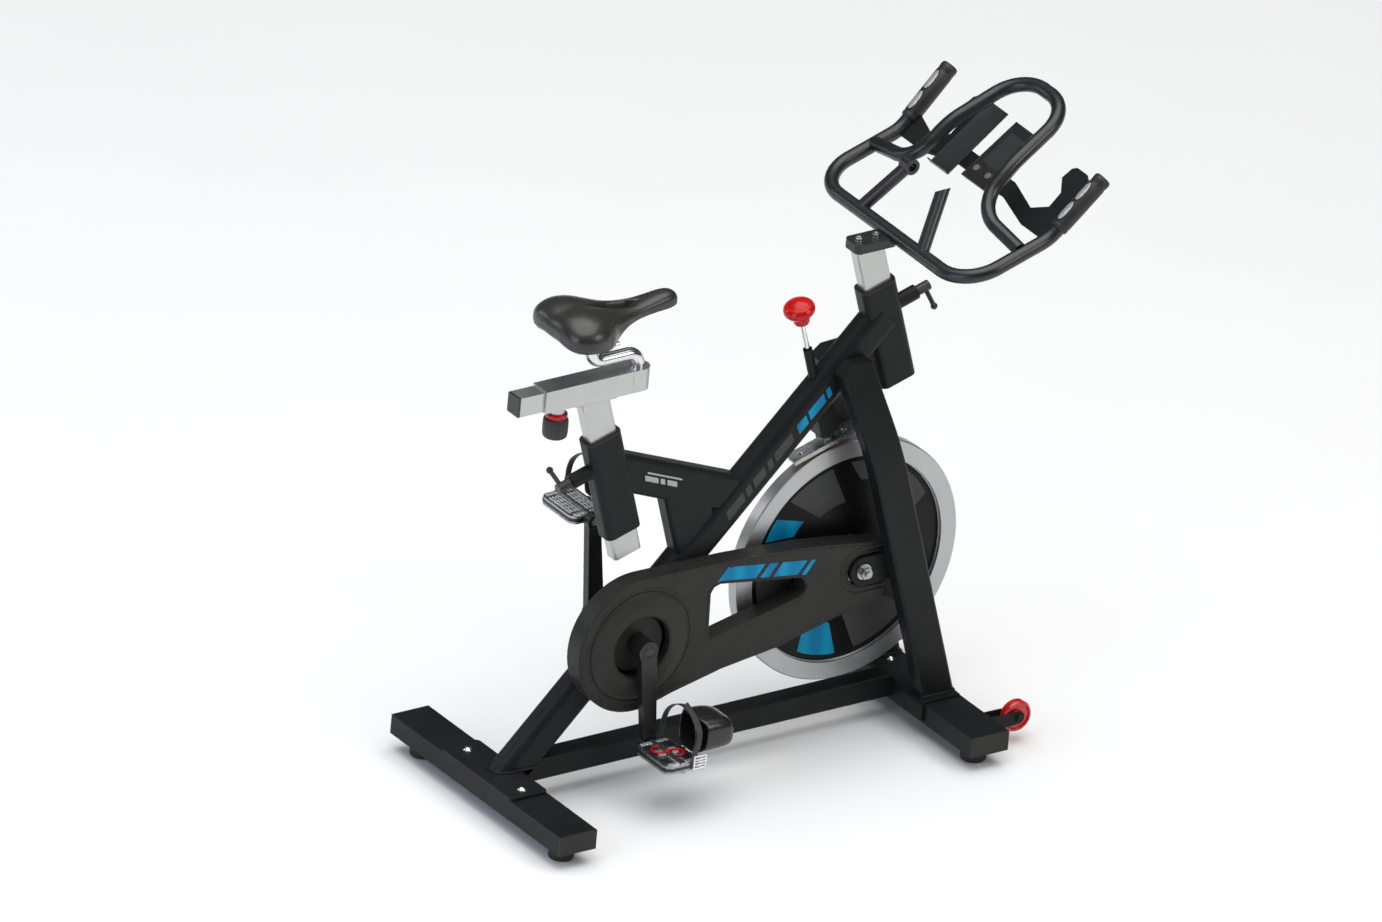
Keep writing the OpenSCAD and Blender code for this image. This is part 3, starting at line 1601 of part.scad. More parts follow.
rear_stabiliser();
front_stabiliser();
stabiliser_caps();
rear_mount_plate();
front_mount_bracket();
mount_bolts();
base_beam();
main_tube();
seat_sleeve();
top_tube();
head_sleeve();
fork_leg_right();
fork_leg_left();
bottom_bracket();
guard_inner();
guard_outer();
drive_belt();
flywheel_axle();
brake_sleeve();
post_bushes();
wheel_brackets();
flywheel();
flywheel_hub();
small_pulley();
crank_axle();
crank_arms();
large_pulley();
pedal_spindles();
pedal_right();
toe_cage_right();
toe_strap_right();
pedal_left();
toe_cage_left();
toe_strap_left();
seat_post();
slider_beam();
saddle_stem();
saddle();
slider_knob();
seat_lever();
bar_lever();
bar_post();
bar_clamp_plate();
handlebar();
aero_loop();
grips();
holder_bracket();
side_tray();
console();
button_left();
button_right();
brake_shoe();
brake_spring();
brake_knob();
foot_rear_right();
foot_rear_left();
foot_front_right();
foot_front_left();
wheel_right();
wheel_left();
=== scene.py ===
import logging
import math
from dataclasses import dataclass, replace
from enum import Enum
from typing import Any, ClassVar, Sequence

import bmesh
import bpy
from mathutils import Matrix, Vector


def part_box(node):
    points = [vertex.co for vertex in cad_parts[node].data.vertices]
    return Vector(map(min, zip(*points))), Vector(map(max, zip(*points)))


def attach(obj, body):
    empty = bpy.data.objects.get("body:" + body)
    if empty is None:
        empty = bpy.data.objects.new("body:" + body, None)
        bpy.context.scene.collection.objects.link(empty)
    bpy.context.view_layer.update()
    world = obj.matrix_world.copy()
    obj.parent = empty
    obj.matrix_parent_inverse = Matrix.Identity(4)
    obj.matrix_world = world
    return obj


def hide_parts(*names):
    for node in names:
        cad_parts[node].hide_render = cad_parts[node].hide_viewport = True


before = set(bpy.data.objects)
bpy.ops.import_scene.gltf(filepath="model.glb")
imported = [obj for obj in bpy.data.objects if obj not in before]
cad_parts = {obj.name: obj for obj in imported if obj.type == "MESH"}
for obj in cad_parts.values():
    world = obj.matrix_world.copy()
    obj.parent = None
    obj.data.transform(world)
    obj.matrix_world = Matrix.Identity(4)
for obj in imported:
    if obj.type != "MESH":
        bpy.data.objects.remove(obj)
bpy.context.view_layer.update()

# Looks of the indoor spin bike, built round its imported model. Drafts are drawn in
# millimetres with X to the front, Y to the rider's left and Z up; Blender's own unit
# is the metre.

log = logging.getLogger("spin_bike")

Colour = tuple[float, float, float]
Flat = tuple[float, float]
MM = 0.001
TURN = 2 * math.pi
SUNK = 0.1  # how deep a piece's foot stands in what carries it
WAVE = 314.0  # a wave texture's scale for waves of one millimetre
ROUNDED_FROM = 28.0  # the angle in degrees from which a piece's edges are rounded


class Side(Enum):
    """The rider's side that a piece stands on, as the sign of its Y."""

    RIGHT = -1
    LEFT = 1

    @property
    def label(self) -> str:
        """Returns the side's word in the names of pieces."""
        return self.name.lower()


class Shading(Enum):
    """How a draft's faces meet: softly all over, or with its sharp edges kept."""

    SOFT = 180.0
    MACHINED = 32.0


# ---- Drafts ----


def smooth_value(table: Sequence[Sequence[float]], at: float, column: int) -> float:
    """Reads a table of stations smoothly.

    Args:
        table: rows that start with their station, in rising order.
        at: the station to read.
        column: the column of the value.

    Returns:
        The value there, on a curve through the rows.
    """
    if at <= table[0][0]:
        return table[0][column]
    if at >= table[-1][0]:
        return table[-1][column]
    i = max(k for k in range(len(table) - 1) if table[k][0] <= at)
    before, start = table[max(i - 1, 0)], table[i]
    end, after = table[i + 1], table[min(i + 2, len(table) - 1)]
    span = end[0] - start[0]
    t = (at - start[0]) / span
    slope_in = (end[column] - before[column]) / max(end[0] - before[0], 1e-6) * span
    slope_out = (after[column] - start[column]) / max(after[0] - start[0], 1e-6) * span
    return (
        start[column] * (2 * t**3 - 3 * t**2 + 1)
        + slope_in * (t**3 - 2 * t**2 + t)
        + end[column] * (3 * t**2 - 2 * t**3)
        + slope_out * (t**3 - t**2)
    )


def smooth_path(points: Sequence[Vector], steps: int) -> list[Vector]:
    """Lays a smooth curve through points.

    Args:
        points: the points, in order.
        steps: the pieces of curve between two of them.

    Returns:
        The points of the curve.
    """
    made: list[Vector] = []
    for i in range(len(points) - 1):
        a, b = points[max(i - 1, 0)], points[i]
        c, d = points[i + 1], points[min(i + 2, len(points) - 1)]
        for k in range(steps):
            t = k / steps
            made.append(
                0.5
                * (
                    2 * b
                    + (c - a) * t
                    + (2 * a - 5 * b + 4 * c - d) * t**2
                    + (3 * b - a - 3 * c + d) * t**3
                )
            )
    made.append(points[-1].copy())
    return made


def round_corners(outline: Sequence[Flat], radius: float, steps: int = 5) -> list[Flat]:
    """Rounds every corner of a flat outline.

    Args:
        outline: the corners, in order.
        radius: the radius wanted, made smaller where a side is short.
        steps: the pieces of each arc.

    Returns:
        The rounded outline.
    """
    made: list[Flat] = []
    count = len(outline)
    for i in range(count):
        here = Vector(outline[i])
        back = Vector(outline[i - 1]) - here
        ahead = Vector(outline[(i + 1) % count]) - here
        half = back.angle(ahead) / 2
        reach = min(radius / math.tan(half), 0.49 * back.length, 0.49 * ahead.length)
        start, end = here + back.normalized() * reach, here + ahead.normalized() * reach
        for k in range(steps + 1):
            t = k / steps
            point = start * (1 - t) ** 2 + here * 2 * t * (1 - t) + end * t**2
            made.append((point.x, point.y))
    return made


def ellipse(half_width: float, half_height: float, steps: int) -> list[Flat]:
    """Returns an ellipse's outline round the origin."""
    turns = [TURN * i / steps for i in range(steps)]
    return [(half_width * math.cos(a), half_height * math.sin(a)) for a in turns]


def circle(radius: float, steps: int = 16) -> list[Flat]:
    """Returns a circle's outline round the origin."""
    return ellipse(radius, radius, steps)


def rectangle(width: float, height: float, radius: float = 0.0,
              middle: Flat = (0.0, 0.0), steps: int = 5) -> list[Flat]:
    """Draws a rectangle's outline.

    Args:
        width: its length along the first axis.
        height: its length along the second axis.
        radius: the radius of its corners, or 0 for sharp ones.
        middle: its middle.
        steps: the pieces of each corner's arc.

    Returns:
        The outline.
    """
    w, h = width / 2, height / 2
    corners = [(middle[0] + x, middle[1] + y) for x, y in ((-w, -h), (w, -h), (w, h), (-w, h))]
    return round_corners(corners, radius, steps) if radius else corners


def at_height(outline: Sequence[Flat], z: float) -> list[Vector]:
    """Returns a flat outline as a ring at a height."""
    return [Vector((x, y, z)) for x, y in outline]


class Draft:
    """The vertices and faces of one piece in the making, in millimetres."""

    def __init__(self, place: Matrix | None = None) -> None:
        """Starts an empty draft.

        Args:
            place: the frame that the shapes are drawn in.
        """
        self.place = place.copy() if place else Matrix.Identity(4)
        self.verts: list[Vector] = []
        self.faces: list[tuple[int, ...]] = []

    def rings(self, rings: Sequence[Sequence[Vector]], loop: bool = False,
              capped: bool = True, hoops: bool = True) -> "Draft":
        """Skins a row of rings that have the same number of points.

        Args:
            rings: the rings, in order.
            loop: whether the last ring joins the first.
            capped: whether the two end rings are filled.
            hoops: whether each ring closes on itself.

        Returns:
            The draft itself.
        """
        base, count = len(self.verts), len(rings[0])
        for ring in rings:
            self.verts += [self.place @ Vector(p) for p in ring]
        last = len(rings) if loop else len(rings) - 1
        for i in range(last):
            a, b = base + i * count, base + (i + 1) % len(rings) * count
            for k in range(count if hoops else count - 1):
                n = (k + 1) % count
                self.faces.append((a + k, a + n, b + n, b + k))
        if capped and not loop and hoops:
            self.faces.append(tuple(range(base + count - 1, base - 1, -1)))
            end = base + (len(rings) - 1) * count
            self.faces.append(tuple(range(end, end + count)))
        return self

    def lathe(self, profile: Sequence[Flat], steps: int = 64) -> "Draft":
        """Turns a profile of radius and height round the Z axis.

        Args:
            profile: the points, from one end to the other.
            steps: the facets round the axis.

        Returns:
            The draft itself.
        """
        thin = 0.02
        return self.rings([at_height(circle(max(r, thin), steps), h) for r, h in profile])

    def sweep(self, path: Sequence[Vector], section: Sequence[Flat], loop: bool = False,
              up: Vector | None = None) -> "Draft":
        """Draws a section along a path without twisting it.

        Args:
            path: the points of the centre line.
            section: the outline, drawn across the path.
            loop: whether the path closes on itself.
            up: the direction that the section's second axis starts in.

        Returns:
            The draft itself.
        """
        count = len(path)
        rings: list[list[Vector]] = []
        normal = up.copy() if up else Vector((0.123, 0.456, 0.881))
        for i in range(count):
            if loop:
                ahead = path[(i + 1) % count] - path[i - 1]
            else:
                ahead = path[min(i + 1, count - 1)] - path[max(i - 1, 0)]
            ahead.normalize()
            normal = (normal - ahead * normal.dot(ahead)).normalized()
            across = normal.cross(ahead)
            rings.append([path[i] + across * x + normal * y for x, y in section])
        return self.rings(rings, loop=loop)

    def slab(self, outline: Sequence[Flat], low: float, high: float) -> "Draft":
        """Thickens a flat outline along Z and returns the draft itself."""
        return self.rings([at_height(outline, low), at_height(outline, high)])

    def block(self, low: Sequence[float], high: Sequence[float]) -> "Draft":
        """Adds a block between two corners and returns the draft itself."""
        outline = [(low[0], low[1]), (high[0], low[1]), (high[0], high[1]), (low[0], high[1])]
        return self.slab(outline, low[2], high[2])

    def merge(self, other: "Draft") -> "Draft":
        """Takes in another draft, drawn in its own frame.

        Args:
            other: the other draft, which stays as it is.

        Returns:
            The draft itself.
        """
        start = len(self.verts)
        self.verts += other.verts
        self.faces += [tuple(start + i for i in face) for face in other.faces]
        return self

    def piece(self, name: str, finish: "Finish", body: str,
              shading: Shading = Shading.MACHINED, rounding: float = 0.0,
              levels: int = 0) -> bpy.types.Object:
        """Turns the draft into a piece that rides on a body.

        Args:
            name: the piece's name.
            finish: what it is finished in.
            body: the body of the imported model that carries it.
            shading: how its faces meet.
            rounding: the radius of its edges in millimetres, or 0 for none.
            levels: the levels of subdivision surface.

        Returns:
            The piece.
        """
        mesh = bpy.data.meshes.new(name)
        mesh.from_pydata([v * MM for v in self.verts], [], self.faces)
        work = bmesh.new()
        work.from_mesh(mesh)
        bmesh.ops.remove_doubles(work, verts=work.verts, dist=2e-6)
        bmesh.ops.recalc_face_normals(work, faces=work.faces)
        work.to_mesh(mesh)
        work.free()
        mesh.shade_smooth()
        if shading is not Shading.SOFT:
            mesh.set_sharp_from_angle(angle=math.radians(shading.value))
        made = bpy.data.objects.new(name, mesh)
        bpy.context.scene.collection.objects.link(made)
        if rounding:
            soften = made.modifiers.new("rounded_edges", "BEVEL")
            soften.width, soften.segments = rounding * MM, 3
            soften.limit_method, soften.angle_limit = "ANGLE", math.radians(ROUNDED_FROM)
            soften.harden_normals = True
        if levels:
            refine = made.modifiers.new("refined", "SUBSURF")
            refine.levels = refine.render_levels = levels
        mesh.materials.append(finish.material())
        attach(made, body)
        log.info("made %s on %s: %d faces", name, body, len(mesh.polygons))
        return made


# ---- Finishes ----


class ShadeTree:
    """A short way to write one material's node tree."""

    def __init__(self, name: str) -> None:
        """Makes the material, ready to be fed.

        Args:
            name: the material's name.
        """
        self.material = bpy.data.materials.new(name)
        self.material.use_nodes = True
        self.nodes = self.material.node_tree.nodes
        self.links = self.material.node_tree.links
        self.shader = self.nodes["Principled BSDF"]
        self.coords = self.nodes.new("ShaderNodeTexCoord").outputs["Object"]

    def put(self, socket: Any, value: Any) -> None:
        """Feeds a socket with another socket or with a constant.

        Args:
            socket: the input to feed.
            value: the other socket, a number, a vector or a colour.
        """
        if isinstance(value, bpy.types.NodeSocket):
            self.links.new(value, socket)
        elif isinstance(value, (tuple, list)) and len(value) == 3 and socket.type == "RGBA":
            socket.default_value = (*value, 1.0)
        else:
            socket.default_value = value

    def node(self, kind: str, inputs: dict[Any, Any], out: int = 0, **settings: Any) -> Any:
        """Adds a node.

        Args:
            kind: the node's type, without its common first letters.
            inputs: what feeds each input, by its name or number.
            out: the number of the output wanted.
            **settings: the node's own settings.

        Returns:
            The output socket.
        """
        made = self.nodes.new("ShaderNode" + kind)
        for key, value in settings.items():
            setattr(made, key, value)
        for key, value in inputs.items():
            self.put(made.inputs[key], value)
        return made.outputs[out]

    def noise(self, scale: float, detail: float = 3.0, vector: Any = None) -> Any:
        """Returns a noise of that scale, in turns to the metre."""
        inputs = {"Vector": vector or self.coords, "Scale": scale, "Detail": detail}
        return self.node("TexNoise", inputs)

    def blend(self, share: Any, first: Any, second: Any) -> Any:
        """Returns a colour between two, by a share from 0 to 1."""
        return self.node("Mix", {0: share, 6: first, 7: second}, 2, data_type="RGBA")

    def between(self, share: Any, first: Any, second: Any) -> Any:
        """Returns a number between two, by a share from 0 to 1."""
        return self.node("Mix", {0: share, 2: first, 3: second}, 0, data_type="FLOAT")

    def spread(self, value: Any, low: float, high: float, to_low: float,
               to_high: float) -> Any:
        """Lays a value's range over another range and keeps it inside that one.

        Args:
            value: the socket of the value.
            low: the start of its range.
            high: the end of its range.
            to_low: what the start becomes.
            to_high: what the end becomes.

        Returns:
            The new value's socket.
        """
        return self.node("MapRange", {0: value, 1: low, 2: high, 3: to_low, 4: to_high})

    def sum(self, operation: str, first: Any, second: Any = 0.0) -> Any:
        """Returns the result of a sum on one or two numbers."""
        return self.node("Math", {0: first, 1: second}, operation=operation)

    def along(self, direction: Sequence[float], through: Sequence[float]) -> Any:
        """Measures how far a place lies along a direction.

        Args:
            direction: the direction, of length one.
            through: the point to measure from, in metres.

        Returns:
            The socket of the distance in metres.
        """
        away = self.node("VectorMath", {0: self.coords, 1: tuple(through)},
                         operation="SUBTRACT")
        return self.node("VectorMath", {0: away, 1: tuple(direction)}, 1,
                         operation="DOT_PRODUCT")


def shade_of(colour: Colour, factor: float) -> Colour:
    """Returns a colour made darker or lighter by a factor."""
    return tuple(min(1.0, c * factor) for c in colour)


@dataclass(frozen=True)
class Coat:
    """One even coat: its colour, its roughness and how metallic it is."""

    colour: Colour
    roughness: float
    metallic: float = 0.0


@dataclass(frozen=True)
class Zone:
    """A second coat beyond a plane through a point, in millimetres."""

    coat: Coat
    through: tuple[float, float, float]
    towards: tuple[float, float, float]


@dataclass(frozen=True)
class Finish:
    """A finish with mottled colour, uneven gloss, a fine grain, and edges that take another colour
    in patches, partly as wear and partly as a painted highlight.

    Lengths are in millimetres. A grain or mottle size is the size of one of its blots.
    """

    name: str
    slot: str
    coat: Coat
    mottle: float = 0.12
    mottle_size: float = 60.0
    uneven: float = 0.06
    grain_size: float = 0.8
    grain_depth: float = 0.03
    # The edges' colour and how much of it shows: partly wear, partly a painted highlight.
    worn_and_highlit_colour: Colour = (0.3, 0.3, 0.3)
    wear_and_highlight: float = 0.0
    edge: float = 0.9
    specular: float = 0.5
    lacquer: float = 0.0
    lacquer_roughness: float = 0.08
    sheen: float = 0.0
    zone: Zone | None = None
    made: ClassVar[dict[str, bpy.types.Material]] = {}

    def material(self) -> bpy.types.Material:
        """Gives the finish's material.

        Returns:
            The material, which is made when it is first wanted.
        """
        if self.name not in self.made:
            tree = ShadeTree(self.name)
            self.dress(tree)
            self.made[self.name] = tree.material
        return self.made[self.name]

    def height(self, tree: ShadeTree) -> Any:
        """Returns the relief of the surface, from 0 to 1."""
        return tree.noise(1000 / self.grain_size, 2.0)

    def tint(self, tree: ShadeTree, colour: Any, mottled: Any) -> Any:
        """Mottles the colour.

        Args:
            tree: the material in the making.
            colour: the plain colour or its socket.
            mottled: the coarse noise of the surface.

        Returns:
            The mottled colour's socket.
        """
        dark = tree.node("Mix", {0: 1.0, 6: colour, 7: (1 - self.mottle,) * 3}, 2,
                         data_type="RGBA", blend_type="MULTIPLY")
        light = tree.node("Mix", {0: 1.0, 6: colour, 7: (1 + self.mottle,) * 3}, 2,
                          data_type="RGBA", blend_type="MULTIPLY")
        return tree.blend(mottled, dark, light)

    def rub(self, tree: ShadeTree, colour: Any, normal: Any) -> Any:
        """Gives the piece's edges another colour in patches: partly a worn coat, partly a painted
        highlight.

        Args:
            tree: the material in the making.
            colour: the socket of the colour away from the edges.
            normal: the socket of the normal, rounded at the edges.

        Returns:
            The socket of the colour with its worn and highlit edges.
        """
        true = tree.node("NewGeometry", {}, 1)
        facing = tree.node("VectorMath", {0: normal, 1: true}, 1, operation="DOT_PRODUCT")
        edges = tree.spread(facing, 0.985, 0.88, 0.0, 1.0)
        patchy = tree.spread(tree.noise(90.0, 5.0), 0.42, 0.62, 0.15, 1.0)
        # Painted highlight and wear: patches along the edges take the edge colour.
        worn_and_highlit_share = tree.sum("MULTIPLY", edges, tree.sum("MULTIPLY", patchy, self.wear_and_highlight))
        return tree.blend(worn_and_highlit_share, colour, self.worn_and_highlit_colour)

    def dress(self, tree: ShadeTree) -> None:
        """Writes the node tree.

        Args:
            tree: the material in the making.
        """
        mottled = tree.spread(tree.noise(1000 / self.mottle_size, 5.0), 0.3, 0.7, 0.0, 1.0)
        colour: Any = self.coat.colour
        rough: Any = self.coat.roughness
        metallic: Any = self.coat.metallic
        if self.zone:
            through = tuple(v * MM for v in self.zone.through)
            beyond = tree.sum("GREATER_THAN", tree.along(self.zone.towards, through))
            colour = tree.blend(beyond, colour, self.zone.coat.colour)
            rough = tree.between(beyond, rough, self.zone.coat.roughness)
            metallic = tree.between(beyond, metallic, self.zone.coat.metallic)
        colour = self.tint(tree, colour, mottled)
        rough = tree.sum("ADD", rough, tree.spread(tree.noise(3000 / self.mottle_size, 4.0),
                                                   0.3, 0.7, -self.uneven, self.uneven))
        shader = tree.shader
        normal = tree.node("Bevel", {0: self.edge * MM}, samples=4)
        # Edges take the edge colour in patches: partly wear, partly a painted highlight.
        if self.wear_and_highlight:
            colour = self.rub(tree, colour, normal)
        bump = tree.node("Bump", {"Strength": 0.6, "Distance": self.grain_depth * MM,
                                  "Height": self.height(tree), "Normal": normal})
        tree.put(shader.inputs["Base Color"], colour)
        tree.put(shader.inputs["Roughness"], rough)
        tree.put(shader.inputs["Metallic"], metallic)
        tree.put(shader.inputs["Normal"], bump)
        shader.inputs["Specular IOR Level"].default_value = self.specular
        shader.inputs["Coat Weight"].default_value = self.lacquer
        shader.inputs["Coat Roughness"].default_value = self.lacquer_roughness
        shader.inputs["Sheen Weight"].default_value = self.sheen
        shader.inputs["Sheen Roughness"].default_value = 0.45
        self.extras(tree)

    def extras(self, tree: ShadeTree) -> None:
        """Adds what only some finishes have."""


@dataclass(frozen=True)
class PebbledVinyl(Finish):
    """Vinyl embossed with small irregular pebbles, as on a saddle."""

    pebble: float = 1.1

    def height(self, tree: ShadeTree) -> Any:
        """Embosses the pebbles, with a little noise over them.

        Args:
            tree: the material in the making.

        Returns:
            The socket of the relief.
        """
        drift = tree.node("TexNoise", {"Vector": tree.coords, "Scale": 160.0}, 1)
        bent = tree.node("Mix", {0: 0.002, 6: tree.coords, 7: drift}, 2,
                         data_type="RGBA", blend_type="ADD")
        cells = tree.node("TexVoronoi", {"Vector": bent, "Scale": 1000 / self.pebble},
                          feature="DISTANCE_TO_EDGE")
        return tree.sum("ADD", tree.spread(cells, 0.0, 0.35, 0.0, 0.8),
                        tree.sum("MULTIPLY", tree.noise(2400.0), 0.2))


@dataclass(frozen=True)
class Webbing(Finish):
    """Coated webbing with ribs across the bike."""

    rib: float = 1.3

    def height(self, tree: ShadeTree) -> Any:
        """Draws the ribs and crosses them with a fainter weave.

        Args:
            tree: the material in the making.

        Returns:
            The socket of the relief.
        """
        inputs = {"Vector": tree.coords, "Scale": WAVE / self.rib / 2}
        ribs = tree.node("TexWave", inputs, 1, bands_direction="X")
        weave = tree.node("TexWave", inputs, 1, bands_direction="Z")
        return tree.sum("ADD", tree.sum("MULTIPLY", ribs, 0.65),
                        tree.sum("MULTIPLY", weave, 0.35))


@dataclass(frozen=True)
class TurnedMetal(Finish):
    """Metal with fine circular tool marks round an axis along Y.

    The axis is given by its X and Z, and the pitch is the width of a mark.
    """

    centre: tuple[float, float] = (0.0, 0.0)
    pitch: float = 0.5

    def radius(self, tree: ShadeTree) -> Any:
        """Measures how far a place lies from the axis.

        Args:
            tree: the material in the making.

        Returns:
            The socket of the distance in metres.
        """
        apart = tree.node("VectorMath", {0: tree.coords,
                                         1: (self.centre[0] * MM, 0.0, self.centre[1] * MM)},
                          operation="SUBTRACT")
        level = tree.node("VectorMath", {0: apart, 1: (1.0, 0.0, 1.0)}, operation="MULTIPLY")
        return tree.node("VectorMath", {0: level}, 1, operation="LENGTH")

    def height(self, tree: ShadeTree) -> Any:
        """Cuts the tool marks, which are noise along the radius.

        Args:
            tree: the material in the making.

        Returns:
            The socket of the relief.
        """
        line = tree.node("CombineXYZ", {0: self.radius(tree), 1: 0.0, 2: 0.0})
        return tree.noise(1000 / self.pitch, 3.0, line)


@dataclass(frozen=True)
class BrushedMetal(Finish):
    """Metal with a fine brushed grain along one direction of the bike."""

    stretch: tuple[float, float, float] = (1.0, 1.0, 0.03)

    def height(self, tree: ShadeTree) -> Any:
        """Brushes the metal with noise that is drawn out along the grain.

        Args:
            tree: the material in the making.

        Returns:
            The socket of the relief.
        """
        drawn = tree.node("VectorMath", {0: tree.coords, 1: self.stretch},
                          operation="MULTIPLY")
        return tree.noise(1000 / self.grain_size, 3.0, drawn)


@dataclass(frozen=True)
class Resin(Finish):
    """Clear coloured plastic that lets some light through."""

    clear: float = 0.35
    depth: float = 4.0

    def extras(self, tree: ShadeTree) -> None:
        """Lets light through and scatters some of it.

        Args:
            tree: the material in the making.
        """
        shader = tree.shader
        shader.inputs["Transmission Weight"].default_value = self.clear
        shader.inputs["Subsurface Weight"].default_value = 0.3
        shader.inputs["Subsurface Radius"].default_value = (1.0, 0.15, 0.1)
        shader.inputs["Subsurface Scale"].default_value = self.depth * MM


@dataclass(frozen=True)
class LiquidCrystal(Finish):
    """A switched-off display: dark green grey, with the faint blocks of its segments."""

    block: float = 4.0

    def tint(self, tree: ShadeTree, colour: Any, mottled: Any) -> Any:
        """Lays the faint segments over the display's colour.

        Args:
            tree: the material in the making.
            colour: the plain colour or its socket.
            mottled: the coarse noise of the surface, not used here.

        Returns:
            The socket of the colour.
        """
        cells = tree.node("TexVoronoi", {"Vector": tree.coords, "Scale": 1000 / self.block},
                          0, distance="CHEBYCHEV")
        faint = tree.spread(cells, 0.3, 0.36, 0.0, 0.35)
        return tree.blend(faint, colour, shade_of(self.coat.colour, 1.25))


@dataclass(frozen=True)
class InkedVinyl(Finish):
    """A printed film whose ink has slow lighter bands along X."""

    light: Colour = (0.004, 0.36, 0.62)
    stripe: float = 46.0

    def tint(self, tree: ShadeTree, colour: Any, mottled: Any) -> Any:
        """Streaks the ink with slow bands.

        Args:
            tree: the material in the making.
            colour: the plain colour or its socket.
            mottled: the coarse noise of the surface, not used here.

        Returns:
            The socket of the colour.
        """
        bands = tree.node("TexWave", {"Vector": tree.coords, "Scale": WAVE / self.stripe,
                                      "Distortion": 1.2, "Detail": 2.0}, 1,
                          bands_direction="X")
        return tree.blend(tree.spread(bands, 0.2, 1.0, 0.0, 0.6), colour, self.light)


# Each finish's edge colour tints its edges in patches: partly wear, partly a painted highlight.
BLACK_PAINT = Finish(
    "satin_black_powder_coat", "frame_paint", Coat((0.0105, 0.011, 0.0115), 0.4),
    mottle=0.2, mottle_size=90, uneven=0.06, grain_size=1.1, grain_depth=0.05,
    worn_and_highlit_colour=(0.1, 0.1, 0.1), wear_and_highlight=0.35, edge=1.2, specular=0.16)
BAR_PAINT = Finish(
    "slate_black_bar_paint", "frame_paint", Coat((0.0145, 0.015, 0.0165), 0.3),
    mottle=0.14, mottle_size=70, uneven=0.05, grain_size=0.9, grain_depth=0.03,
    worn_and_highlit_colour=(0.14, 0.14, 0.15), wear_and_highlight=0.3, edge=0.8, specular=0.5)
FORGED_BLACK = Finish(
    "black_forged_arm_paint", "frame_paint", Coat((0.011, 0.011, 0.011), 0.33),
    mottle=0.2, mottle_size=40, grain_size=0.7, grain_depth=0.03,
    worn_and_highlit_colour=(0.2, 0.2, 0.2), wear_and_highlight=0.5, edge=1.6, specular=0.4)
MOULDED_BLACK = Finish(
    "matt_moulded_plastic", "black_plastic", Coat((0.0235, 0.023, 0.021), 0.42),
    mottle=0.12, mottle_size=45, uneven=0.06, grain_size=0.55, grain_depth=0.05,
    worn_and_highlit_colour=(0.085, 0.085, 0.08), wear_and_highlight=0.4, edge=1.4, specular=0.22)
HARD_BLACK = Finish(
    "hard_black_plastic", "black_plastic", Coat((0.014, 0.014, 0.014), 0.34),
    mottle=0.1, mottle_size=25, grain_size=0.5, grain_depth=0.02,
    worn_and_highlit_colour=(0.1, 0.1, 0.1), wear_and_highlight=0.35, edge=0.8, specular=0.5)
SMOKED_BLACK = Finish(
    "polished_cage_plastic", "black_plastic", Coat((0.017, 0.0165, 0.0155), 0.24),
    mottle=0.14, mottle_size=30, grain_size=0.8, grain_depth=0.015,
    worn_and_highlit_colour=(0.12, 0.12, 0.11), wear_and_highlight=0.3, edge=0.8, specular=0.5)
CONSOLE_BLACK = Finish(
    "glossy_console_plastic", "black_plastic", Coat((0.016, 0.0165, 0.018), 0.22),
    mottle=0.1, mottle_size=30, uneven=0.04, grain_size=0.4, grain_depth=0.008,
    worn_and_highlit_colour=(0.1, 0.1, 0.1), wear_and_highlight=0.2, edge=1.3, specular=0.3, lacquer=0.2)
CHROME = Finish(
    "bright_chrome", "bright_steel", Coat((0.72, 0.73, 0.74), 0.17, 1.0),
    mottle=0.04, mottle_size=30, uneven=0.03, grain_size=6.0, grain_depth=0.0006,
    worn_and_highlit_colour=(0.6, 0.6, 0.6), wear_and_highlight=0.15, edge=0.3)
ZINC = Finish(
    "zinc_plated_steel", "steel_grey", Coat((0.42, 0.425, 0.43), 0.3, 0.95),
    mottle=0.16, mottle_size=14, uneven=0.08, grain_size=0.7, grain_depth=0.015,
    worn_and_highlit_colour=(0.65, 0.65, 0.65), wear_and_highlight=0.4, edge=0.6)
POST_STEEL = BrushedMetal(
    "satin_post_steel", "post_steel", Coat((0.5, 0.51, 0.5), 0.3, 0.85),
    mottle=0.04, mottle_size=70, uneven=0.02, grain_size=0.5, grain_depth=0.0015,
    worn_and_highlit_colour=(0.8, 0.8, 0.8), wear_and_highlight=0.3, edge=0.8)
# Its near white edges are partly wear and partly a painted highlight on the pedal's bright rims.
CAST_ALLOY = Finish(
    "cast_pedal_alloy", "pedal_metal", Coat((0.34, 0.35, 0.36), 0.24, 0.95),
    mottle=0.3, mottle_size=7, uneven=0.1, grain_size=1.4, grain_depth=0.08,
    worn_and_highlit_colour=(0.86, 0.87, 0.88), wear_and_highlight=0.9, edge=1.2)
BRIGHT_ALLOY = Finish(
    "polished_pedal_alloy", "pedal_metal", Coat((0.8, 0.815, 0.82), 0.24, 0.72),
    mottle=0.14, mottle_size=6, uneven=0.08, grain_size=1.0, grain_depth=0.03,
    worn_and_highlit_colour=(0.9, 0.9, 0.9), wear_and_highlight=0.5, edge=0.5)
FOOT_RUBBER = Finish(
    "black_rubber", "belt_rubber", Coat((0.02, 0.019, 0.018), 0.62),
    mottle=0.2, mottle_size=18, grain_size=0.6, grain_depth=0.06,
    worn_and_highlit_colour=(0.08, 0.08, 0.075), wear_and_highlight=0.5, edge=1.2, specular=0.35)
STRAP_WEB = Webbing(
    "coated_strap_webbing", "strap", Coat((0.035, 0.034, 0.032), 0.48),
    mottle=0.2, mottle_size=9, grain_depth=0.12, worn_and_highlit_colour=(0.12, 0.12, 0.11), wear_and_highlight=0.6,
    edge=0.5, specular=0.45)
